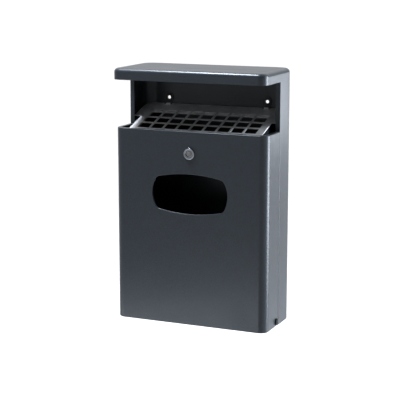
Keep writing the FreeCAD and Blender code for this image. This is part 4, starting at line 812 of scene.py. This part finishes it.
class BIN_OT_grid(bpy.types.Operator):
    """Make the perforated ash grid"""
    bl_idname = "bin.grid"
    bl_label = "Ash grid"
    KNUCKLE = 0.0124        # length of the rolled hinge knuckles
    KNUCKLE_RADIUS = 0.003
    KNUCKLE_BORE = 0.0016
    KNUCKLE_RISE = 0.001    # of the knuckles' tops over the back edge
    BACK_GAP = 0.0045       # from the back of the hinge brackets to the back edge
    HINGE_AXIS = -0.0032    # down the slope from the back edge

    def execute(self, context):
        p = context.scene.bin_grid
        low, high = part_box("ash_grid")
        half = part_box("pan_cradle")[1].x
        back_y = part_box("grid_bracket_right")[1].y - self.BACK_GAP
        back_z = high.z - self.KNUCKLE_RISE
        length = (back_y - low.y - p.lip * math.sin(p.slope)) / math.cos(p.slope)
        fold = 0.0028
        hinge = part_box("grid_bracket_right")
        hinge_x = (hinge[0].x + hinge[1].x) / 2
        corners = self.outline(p, high.x, half, length - fold, hinge_x)
        flat = bpy.data.meshes.new("ash_grid_outline")
        edges = [(i, (i + 1) % len(corners)) for i in range(len(corners))]
        flat.from_pydata([(x, y, 0) for x, y in corners], edges, [])
        pitch = (2 * half - 2 * p.border + p.bar) / p.columns
        mesh = baked(flat, perforated_sheet_tree(), {
            "Columns": p.columns, "Rows": p.rows, "Pitch": pitch, "Row pitch": p.row_pitch, "Bar": p.bar,
            "Slit": p.slit, "Fillet": 0.001, "First row": p.first_row, "Thickness": p.sheet,
            "Material": material_for("grid_coat")})
        work = bmesh.new()
        work.from_mesh(mesh)
        self.fold_lip(work, half, length, fold, p.sheet, p.lip)
        knuckle = flat_ring(self.KNUCKLE, self.KNUCKLE_BORE, self.KNUCKLE_RADIUS, 0.0002)
        for side in (-1, 1):
            start = Vector((side * hinge_x - self.KNUCKLE / 2, self.HINGE_AXIS, -p.sheet / 2))
            turned(work, knuckle, 24, start, X, closed=True)
        place = Matrix.Translation((0, back_y, back_z)) @ Matrix.Rotation(p.slope, 4, "X")
        work.transform(place)
        soften(to_piece("ash_grid_plate", to_mesh(work, "ash_grid"), "ash_grid"), 0.0004)
        return {"FINISHED"}

    def outline(self, p, band_half, half, front, hinge_x):
        """The grid's outline seen from above, with notches for the hinges in its back edge."""
        axis = self.HINGE_AXIS
        notch = axis - 0.005
        reach = 0.01
        back = []
        for middle in (hinge_x, -hinge_x):
            right, left = middle + self.KNUCKLE / 2, middle - self.KNUCKLE / 2
            for x, y in ((middle + reach, 0), (middle + reach, notch), (right, notch), (right, axis),
                         (left, axis), (left, notch), (middle - reach, notch), (middle - reach, 0)):
                back.append((x, y, 0))
        radius = 0.027
        corners = ([(band_half, -p.band, 0.003), (band_half, 0, radius)] + back
                   + [(-band_half, 0, radius), (-band_half, -p.band, 0.003), (-half, -p.band, 0.003),
                      (-half, -front, 0), (half, -front, 0), (half, -p.band, 0.003)])
        return eased_outline(corners)

    def fold_lip(self, work, half, length, fold, sheet, lip):
        """Fold the front edge down into a lip, joined to the sheet."""
        front = fold - length
        seam = [face for face in work.faces if all(abs(v.co.y - front) < 1e-5 for v in face.verts)]
        bmesh.ops.delete(work, geom=seam, context="FACES_ONLY")
        outer = []
        inner = []
        for i in range(7):
            angle = TURN / 4 * i / 6
            outer.append((front - fold * math.sin(angle), fold * math.cos(angle) - fold))
            inside = fold - sheet
            inner.append((front - inside * math.sin(angle), inside * math.cos(angle) - fold))
        profile = outer + [(-length, -lip)] + [(-length + sheet, -lip)] + inner[::-1]
        rings = []
        for x in (-half, half):
            rings.append([work.verts.new((x, y, z)) for y, z in profile])
        for i in range(len(profile) - 1):
            work.faces.new((rings[0][i], rings[0][i + 1], rings[1][i + 1], rings[1][i]))
        work.faces.new(rings[0])
        work.faces.new(rings[1][::-1])
        bmesh.ops.remove_doubles(work, verts=work.verts, dist=1e-5)


class BIN_OT_hood_bolts(bpy.types.Operator):
    """Make the hood's bolts and nuts"""
    bl_idname = "bin.hood_bolts"
    bl_label = "Hood bolts"

    def execute(self, context):
        bolts = solids("canopy_bolts")
        nuts = solids("canopy_nuts")
        height = nuts[0][1].z - nuts[0][0].z
        width = min(nuts[0][1].x - nuts[0][0].x, nuts[0][1].y - nuts[0][0].y)
        radius = height / 1.6    # a nut is 0.8 of its thread's diameter high
        length = bolts[0][1].z - bolts[0][0].z - height
        seats = [(centre_at(pair, 2, 0) + Z * height, Z) for pair in bolts]
        repeated("hood_bolt_set", hex_bolt(width, height, radius, length), seats, "canopy_bolts")
        seats = [(centre_at(pair, 2, 0), Z) for pair in nuts]
        repeated("hood_nut_set", hex_nut(width, height, radius), seats, "canopy_nuts")
        return {"FINISHED"}


class BIN_OT_rivets(bpy.types.Operator):
    """Make every group of rivets"""
    bl_idname = "bin.rivets"
    bl_label = "Rivets"

    def execute(self, context):
        self.group("cradle_rivets", 1, lambda middle: -Y)
        self.group("grid_bracket_rivets", 1, lambda middle: -Y)
        self.group("tray_rivets", 2, lambda middle: Z)
        self.group("ear_rivets", 0, lambda middle: X if middle.x > 0 else -X)
        return {"FINISHED"}

    def group(self, node, axis, facing):
        """Rivets of one node. facing gives the side of a rivet's head from its middle."""
        places = []
        across = (axis + 1) % 3
        for pair in solids(node):
            low, high = pair
            way = facing((low + high) / 2)
            tip = centre_at(pair, axis, way[axis] > 0)
            places.append((tip - way * RIVET_HEAD, way))
            head_radius = (high[across] - low[across]) / 2
            grip = high[axis] - low[axis] - RIVET_HEAD
        work = domed_rivet(head_radius, RIVET_HEAD, head_radius * 0.55, grip)
        repeated(node.replace("rivets", "rivet_set"), work, places, node)


class BIN_OT_pivots(bpy.types.Operator):
    """Make the bolts, bushes and nuts that the cover tilts on"""
    bl_idname = "bin.pivots"
    bl_label = "Pivots"

    def execute(self, context):
        bush_low, bush_high = solids("pivot_bushes")[-1]
        bore, sleeve, wide, ease = 0.00305, 0.00505, 0.008, 0.0003
        flange = COVER_INSIDE - bush_low.x
        deep = bush_high.x - bush_low.x
        work = bmesh.new()
        turned(work, [(0, bore), (0, wide - ease), (ease, wide), (flange - ease, wide),
                      (flange, wide - ease), (flange, sleeve), (deep - ease, sleeve),
                      (deep, sleeve - ease), (deep, bore)], 32, closed=True)
        repeated("pivot_bush_set", work, sides("pivot_bushes", inward=False), "pivot_bushes")

        tip, crown = solids("pivot_bolts")[-1]
        head, straight = 0.005, 0.0016
        shank = crown.x - tip.x - head
        work = bmesh.new()
        cap = [(0, wide - 0.0004), (0.0004, wide), (straight, wide)]
        for i in range(1, 9):
            angle = TURN / 4 * i / 9
            cap.append((straight + (head - straight) * math.sin(angle), wide * math.cos(angle)))
        cap.append((head, 0.0004))
        turned(work, [(-shank, 0.0024), (0.0006 - shank, 0.003), (0, 0.003)] + cap, 36)
        places = [(end + way * head, -way) for end, way in sides("pivot_bolts", inward=True)]
        repeated("pivot_bolt_set", work, places, "pivot_bolts")
        nut_pairs("pivot_nut_set", "pivot_nuts", 0.003)
        return {"FINISHED"}


class BIN_OT_stays(bpy.types.Operator):
    """Make the studs, washers and nuts that stop the cover's tilt"""
    bl_idname = "bin.stays"
    bl_label = "Stays"

    def execute(self, context):
        low, high = solids("stay_studs")[-1]
        length = high.x - low.x
        foot, wide, shank = 0.0015, 0.006, 0.003
        work = bmesh.new()
        turned(work, [(0, wide - 0.0003), (0.0003, wide), (foot - 0.0003, wide), (foot, wide - 0.0003),
                      (foot, shank)]
               + thread(length * 0.5, length - 0.0004, shank, 0.001) + [(length, shank - 0.0007)], 28)
        repeated("stay_stud_set", work, sides("stay_studs", inward=True), "stay_studs")
        low, high = solids("stay_washers")[-1]
        thick = high.x - low.x
        work = bmesh.new()
        turned(work, flat_ring(thick, 0.0031, 0.0065), 36, closed=True)
        repeated("stay_washer_set", work, sides("stay_washers", inward=True), "stay_washers")
        nut_pairs("stay_nut_set", "stay_nuts", shank)
        return {"FINISHED"}


class BIN_OT_hinge_pins(bpy.types.Operator):
    """Make the ash grid's hinge pins"""
    bl_idname = "bin.hinge_pins"
    bl_label = "Hinge pins"

    def execute(self, context):
        low, high = solids("grid_hinge_pins")[-1]
        length = high.x - low.x
        head, pin, wide = 0.0015, 0.0015, 0.0025
        shank = length - head
        work = bmesh.new()
        turned(work, [(0, pin - 0.0003), (0.0003, pin), (shank, pin), (shank, wide - 0.0002),
                      (shank + 0.0002, wide), (shank + 0.0008, wide), (shank + 0.0013, wide - 0.0006),
                      (length, 0.0008)], 24)
        repeated("hinge_pin_set", work, sides("grid_hinge_pins", inward=False), "grid_hinge_pins")
        return {"FINISHED"}


class BIN_OT_lock(bpy.types.Operator):
    """Make the quarter-turn lock"""
    bl_idname = "bin.lock"
    bl_label = "Lock"

    def execute(self, context):
        low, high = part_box("lock_housing")
        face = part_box("front_cover")[0].y
        middle = Vector((0, face, (low.z + high.z) / 2))
        out = face - low.y
        back = high.y - face
        head = (high.z - low.z) / 2
        self.housing(middle, out, back, head)
        self.spindle(middle, out)
        self.washer()
        self.nut()
        low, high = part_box("cam_screw")
        bolt_head = 0.003
        work = hex_bolt(0.009, bolt_head, 0.0025, high.y - low.y - bolt_head)
        place = Vector((0, high.y - bolt_head, middle.z))
        repeated("cam_bolt", work, [(place, -Y)], "cam_screw")
        return {"FINISHED"}

    def housing(self, middle, out, back, head):
        """A threaded barrel with a rounded, dished head round the key recess."""
        barrel, bore, recess = 0.0095, 0.006, 0.0082
        rounding = 0.0014
        rim = arc(0, TURN / 4, 6, rounding, (out - rounding, head - rounding))
        face = [(out, 0.0105), (out - 0.00025, 0.0102), (out - 0.00035, 0.0092),
                (out - 0.0002, recess + 0.0003)]
        work = bmesh.new()
        turned(work, [(-back, bore), (-back, barrel - 0.0006)]
               + thread(-back + 0.0004, -0.002, barrel, 0.001)
               + [(0, barrel), (0, head - 0.0004), (0.0004, head)] + rim + face
               + [(out - 0.0006, recess), (out - RECESS_DEPTH, recess),
                  (out - RECESS_DEPTH, bore)],
               56, middle, -Y, closed=True)
        to_piece("lock_case", to_mesh(work, "lock_case"), "lock_housing")

    def spindle(self, middle, out):
        """A collared spindle whose three-sided core stands in the recess, and a square tail."""
        low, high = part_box("lock_spindle")
        work = bmesh.new()
        top = -(low.y - middle.y)
        tail = -(high.y - middle.y)
        collar = out - RECESS_DEPTH + 0.0008
        turned(work, [(tail + 0.006, 0.0056), (collar - 0.0009, 0.0056), (collar - 0.0008, 0.0064),
                      (collar - 0.0002, 0.0066), (collar, 0.0064), (collar, 0.0058)], 40, middle, -Y)
        core = []
        for along, size in ((collar - 0.0002, 0.0052), (top - 0.0003, 0.0052), (top, 0.0049)):
            loop = []
            for i in range(48):
                angle = TURN * i / 48
                fold = (angle + TURN / 6) % (TURN / 3) - TURN / 6
                radius = min(size * 0.62 / max(math.cos(fold), 0.2), size)
                point = Vector((radius * math.sin(angle), -along, radius * math.cos(angle)))
                loop.append(middle + point)
            core.append(loop)
        skin(work, core, close_ends=True)
        square = []
        corners = ((1, 1), (-1, 1), (-1, -1), (1, -1))
        for along, half in ((tail, 0.0032), (tail + 0.0003, 0.0035), (tail + 0.007, 0.0035)):
            square.append([middle + Vector((x * half, -along, z * half)) for x, z in corners])
        skin(work, square, close_ends=True)
        to_piece("lock_key_core", to_mesh(work, "lock_key_core"), "lock_spindle")

    def washer(self):
        low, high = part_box("lock_washer")
        thick = high.y - low.y
        start = (low + high) / 2 - Y * thick / 2
        work = bmesh.new()
        turned(work, flat_ring(thick, 0.0098, (high.z - low.z) / 2), 48, start, Y, closed=True)
        to_piece("lock_spacer", to_mesh(work, "lock_spacer"), "lock_washer")

    def nut(self):
        low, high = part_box("lock_nut")
        width = min(high.x - low.x, high.z - low.z)
        place = Vector((0, low.y, (low.z + high.z) / 2))
        work = hex_nut(width, high.y - low.y, 0.0095, 0.0006)
        repeated("lock_ring_nut", work, [(place, Y)], "lock_nut")


class BIN_OT_rubber(bpy.types.Operator):
    """Make the rubber washers and buffers"""
    bl_idname = "bin.rubber"
    bl_label = "Rubber parts"

    def execute(self, context):
        washers = solids("wall_washers")
        low, high = washers[0]
        thick = high.y - low.y
        radius = (high.x - low.x) / 2
        work = bmesh.new()
        bore = 0.0045
        turned(work, [(0, bore), (0, radius - 0.0002), (0.0004, radius), (thick - 0.0006, radius),
                      (thick - 0.0001, radius - 0.0006), (thick, radius - 0.0013),
                      (thick - 0.0004, radius - 0.0026), (thick - 0.0004, bore + 0.0023),
                      (thick, bore + 0.0011), (thick - 0.0001, bore + 0.0004), (thick - 0.0005, bore)],
               40, closed=True)
        places = [(centre_at(pair, 1, 1), -Y) for pair in washers]
        repeated("wall_washer_set", work, places, "wall_washers")

        buffers = solids("cover_buffers")
        low, high = buffers[0]
        length = high.y - low.y
        root = (high.x - low.x) / 2
        tip = root * 0.64
        work = bmesh.new()
        side = [(0, root - 0.0004), (0.0005, root), (length * 0.2, root * 0.96),
                (length * 0.24, root * 0.9)]
        rounding = 0.0015
        turned(work, side + arc(0.15, TURN / 4, 6, rounding, (length - rounding, tip - rounding)), 32)
        places = [(centre_at(pair, 1, 1), -Y) for pair in buffers]
        repeated("cover_buffer_set", work, places, "cover_buffers")
        return {"FINISHED"}


class BIN_OT_liner(bpy.types.Operator):
    """Make the liner bucket with its swages and rolled rim"""
    bl_idname = "bin.liner"
    bl_label = "Liner"

    def execute(self, context):
        p = context.scene.bin_liner
        low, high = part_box("liner_bucket")
        bead = 0.004
        half = high.x - bead
        front = low.y + bead
        back = high.y - bead
        foot = 0.005
        walls = [(foot, 0.0)]
        for i in range(1, 5):
            angle = TURN / 4 * i / 4
            walls.append((foot * (1 - math.sin(angle)), foot * (1 - math.cos(angle))))
        rise = high.z - low.z
        groove = ((-0.006, 0), (-0.0035, 0.5), (-0.0015, 1), (0.0015, 1), (0.0035, 0.5), (0.006, 0))
        for i in range(p.swages):
            level = (0.075 + 0.07 * i) * rise / 0.225
            walls += [(share * p.swage_depth, level + step) for step, share in groove]
        roll = [(0, rise - 0.0052), (-0.0022, rise - 0.0048), (-0.0036, rise - 0.0036),
                (-bead, rise - 0.0022), (-0.0036, rise - 0.0009), (-0.0023, rise - 0.0001),
                (-0.001, rise), (0.0003, rise - 0.0006), (p.sheet, rise - 0.0022)]
        inner = [(inset + p.sheet, max(z, p.sheet)) for inset, z in walls[:0:-1]]
        inner.append((foot + p.sheet, p.sheet))
        corner = 0.02
        loops = []
        for inset, z in walls + roll + inner:
            loops.append(rounded_plan(half - inset, front + inset, back - inset, corner - inset,
                                      low.z + z))
        work = bmesh.new()
        skin(work, loops, close_ends=True)
        self.seam(work, back, low.z + 0.008, high.z - 0.0055)
        to_piece("liner_shell", to_mesh(work, "liner_shell"), "liner_bucket")
        return {"FINISHED"}

    def seam(self, work, back, low, high):
        """The folded lock seam that closes the liner's back, beside the handle's grip."""
        profile = [(-0.005, 0), (-0.0048, 0.0005), (-0.004, 0.0008), (0.004, 0.0008),
                   (0.0048, 0.0005), (0.005, 0)]
        loops = []
        for z in (low, high):
            loops.append([Vector((SEAM_X + x, back + y - 0.0002, z)) for x, y in profile])
        skin(work, loops, close_ends=True)


class BIN_OT_handle(bpy.types.Operator):
    """Make the liner's wire handle and its ribbed grip"""
    bl_idname = "bin.handle"
    bl_label = "Handle"

    def execute(self, context):
        p = context.scene.bin_liner
        radius = 0.002
        joint = next(j for j in frame["joints"] if j["name"] == "handle_swing")
        pivot = Vector(joint["pos_m"])
        grip_low, grip_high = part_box("handle_grip")
        grip = (grip_low + grip_high) / 2
        arm = Vector((0, grip.y - pivot.y, grip.z - pivot.z))
        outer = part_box("handle_wire")[1].x - radius
        tip = outer - 0.0071
        corners = [(tip, 0, 0), (outer, 0, 0.0021), (outer, 1, 0.01), (-outer, 1, 0.01),
                   (-outer, 0, 0.0021), (-tip, 0, 0)]
        reach = arm.length
        path = eased_outline([(x, -share * reach, bend) for x, share, bend in corners], closed=False)
        along = -arm.normalized()
        points = [Vector((x, pivot.y, pivot.z)) + along * y for x, y in path]
        curve = bpy.data.curves.new("handle_path", "CURVE")
        curve.dimensions = "3D"
        curve.bevel_depth = radius
        curve.bevel_resolution = 4
        curve.use_fill_caps = True
        spline = curve.splines.new("POLY")
        spline.points.add(len(points) - 1)
        for made, point in zip(spline.points, points):
            made.co = (*point, 1)
        bent = bpy.data.objects.new("handle_path", curve)
        context.scene.collection.objects.link(bent)
        graph = context.evaluated_depsgraph_get()
        mesh = bpy.data.meshes.new_from_object(bent.evaluated_get(graph))
        bpy.data.objects.remove(bent)
        to_piece("handle_bail", mesh, "handle_wire")

        half = (grip_high.x - grip_low.x) / 2
        wide = (grip_high.y - grip_low.y) / 2
        bore, collar, groove, rib = 0.0021, 0.006, 0.0006, 0.002
        end = [(0, bore), (0, wide - 0.0011), (0.0004, wide - 0.0003), (0.0012, wide)]
        step = (half - collar) * 2 / p.ribs
        profile = [(along - half, radius) for along, radius in end]
        for i in range(p.ribs):
            start = -half + collar + step * i
            profile += [(start, wide), (start + groove, wide - groove),
                        (start + step - rib - groove, wide - groove), (start + step - rib, wide)]
        profile += [(half - along, radius) for along, radius in end[::-1]]
        work = bmesh.new()
        turned(work, profile, 28, grip, X, closed=True)
        to_piece("handle_ribbed_grip", to_mesh(work, "handle_ribbed_grip"), "handle_grip")
        return {"FINISHED"}


class BIN_OT_stage(bpy.types.Operator):
    """Make the floor, the lights and the camera"""
    bl_idname = "bin.stage"
    bl_label = "Stage"

    def execute(self, context):
        p = context.scene.bin_stage
        work = bmesh.new()
        bmesh.ops.create_circle(work, cap_ends=True, radius=p.floor_radius, segments=96,
                                matrix=Matrix.Translation((0, 0, CAD_BOX[0].z - p.drop)))
        floor = bpy.data.objects.new("floor", to_mesh(work, "floor"))
        floor.data.materials.append(material_for("floor"))
        context.scene.collection.objects.link(floor)
        self.light("Overhead softbox", (-0.46, -0.465, 1.6), (0, -0.19, 0.3), 0.56, 0.18, p.overhead)
        self.light("Back softbox", (2.5, 1.0, 0.2), (0.19, -0.1, 0), 1.2, 2.0, p.back)
        self.light("Side softbox", (0.95, 1.2, 0.1), (0.19, -0.1, 0.3), 0.5, 0.3, p.side)
        self.light("Front strip", (-0.4, -1.15, 0.16), (0, -0.17, 0.25), 1.0, 0.12, p.strip)
        self.light("Low front softbox", (-0.32, -0.6, -0.48), (0, -0.17, -0.3), 0.9, 0.14, p.low_front)
        self.sky(context, p)
        context.scene.view_settings.view_transform = "Standard"
        self.camera(context, p.lens)
        return {"FINISHED"}

    def sky(self, context, p):
        """A sky that lights the bin dimly from the front and brightly from behind, and looks white."""
        world = bpy.data.worlds.new("Studio")
        context.scene.world = world
        world.use_nodes = True
        tree = world.node_tree
        way = add(tree, "ShaderNodeTexCoord").outputs["Generated"]
        split = add(tree, "ShaderNodeSeparateXYZ", {"Vector": way})
        depth = spread(tree, split.outputs["Y"], -0.3, 0.4, p.sky_front, p.sky_back)
        height = spread(tree, split.outputs["Z"], 0.2, 0.6, 0.22, 1.0)
        strength = add(tree, "ShaderNodeMath", {0: depth, 1: height}, operation="MULTIPLY").outputs[0]
        seen = add(tree, "ShaderNodeLightPath").outputs["Is Camera Ray"]
        strength = add(tree, "ShaderNodeMix", {0: seen, 2: strength, 3: 1.0}).outputs[0]
        background = tree.nodes["Background"]
        background.inputs["Color"].default_value = (1, 1, 1, 1)
        tree.links.new(strength, background.inputs["Strength"])

    def light(self, name, place, target, width, height, power):
        data = bpy.data.lights.new(name, "AREA")
        data.shape = "RECTANGLE"
        data.size = width
        data.size_y = height
        data.energy = power
        data.color = linear("EAF2FC")[:3]
        lamp = bpy.data.objects.new(name, data)
        lamp.location = place
        lamp.rotation_euler = (Vector(target) - Vector(place)).to_track_quat("-Z", "Y").to_euler()
        bpy.context.scene.collection.objects.link(lamp)

    def camera(self, context, lens):
        data = bpy.data.cameras.new("Camera")
        data.lens = lens
        data.sensor_width = 36
        data.shift_y = -0.025
        data.clip_end = 300
        camera = bpy.data.objects.new("Camera", data)
        camera.location = (1.1782, -2.8451, 0.5772)
        yaw, pitch = 0.4069, 0.1842
        level = math.cos(pitch)
        ahead = Vector((-math.sin(yaw) * level, math.cos(yaw) * level, -math.sin(pitch)))
        camera.rotation_euler = ahead.to_track_quat("-Z", "Y").to_euler()
        context.scene.collection.objects.link(camera)
        context.scene.camera = camera


class BIN_PT_panel(bpy.types.Panel):
    """The bin's pieces in the order they are made"""
    bl_idname = "BIN_PT_panel"
    bl_label = "Litter bin"
    bl_space_type = "VIEW_3D"
    bl_region_type = "UI"
    bl_category = "Litter bin"

    def draw(self, context):
        column = self.layout.column()
        for settings in (context.scene.bin_finish, context.scene.bin_grid, context.scene.bin_liner,
                         context.scene.bin_stage):
            for name in settings.bl_rna.properties.keys():
                if name not in {"rna_type", "name"}:
                    column.prop(settings, name)
            column.separator()
        for item in OPERATORS:
            column.operator(item.bl_idname)


SETTINGS = {
    "bin_finish": FinishSettings,
    "bin_grid": GridSettings,
    "bin_liner": LinerSettings,
    "bin_stage": StageSettings,
}
OPERATORS = [BIN_OT_coat, BIN_OT_sheets, BIN_OT_grid, BIN_OT_hood_bolts, BIN_OT_rivets,
             BIN_OT_pivots, BIN_OT_stays, BIN_OT_hinge_pins, BIN_OT_lock, BIN_OT_rubber,
             BIN_OT_liner, BIN_OT_handle, BIN_OT_stage]


def register():
    for item in list(SETTINGS.values()) + OPERATORS + [BIN_PT_panel]:
        bpy.utils.register_class(item)
    for name, item in SETTINGS.items():
        setattr(bpy.types.Scene, name, bpy.props.PointerProperty(type=item))


def unregister():
    for name in SETTINGS:
        delattr(bpy.types.Scene, name)
    for item in reversed(list(SETTINGS.values()) + OPERATORS + [BIN_PT_panel]):
        bpy.utils.unregister_class(item)


def main():
    register()
    bpy.ops.bin.coat()
    bpy.ops.bin.sheets()
    bpy.ops.bin.grid()
    bpy.ops.bin.hood_bolts()
    bpy.ops.bin.rivets()
    bpy.ops.bin.pivots()
    bpy.ops.bin.stays()
    bpy.ops.bin.hinge_pins()
    bpy.ops.bin.lock()
    bpy.ops.bin.rubber()
    bpy.ops.bin.liner()
    bpy.ops.bin.handle()
    bpy.ops.bin.stage()


if __name__ == "__main__":
    main()
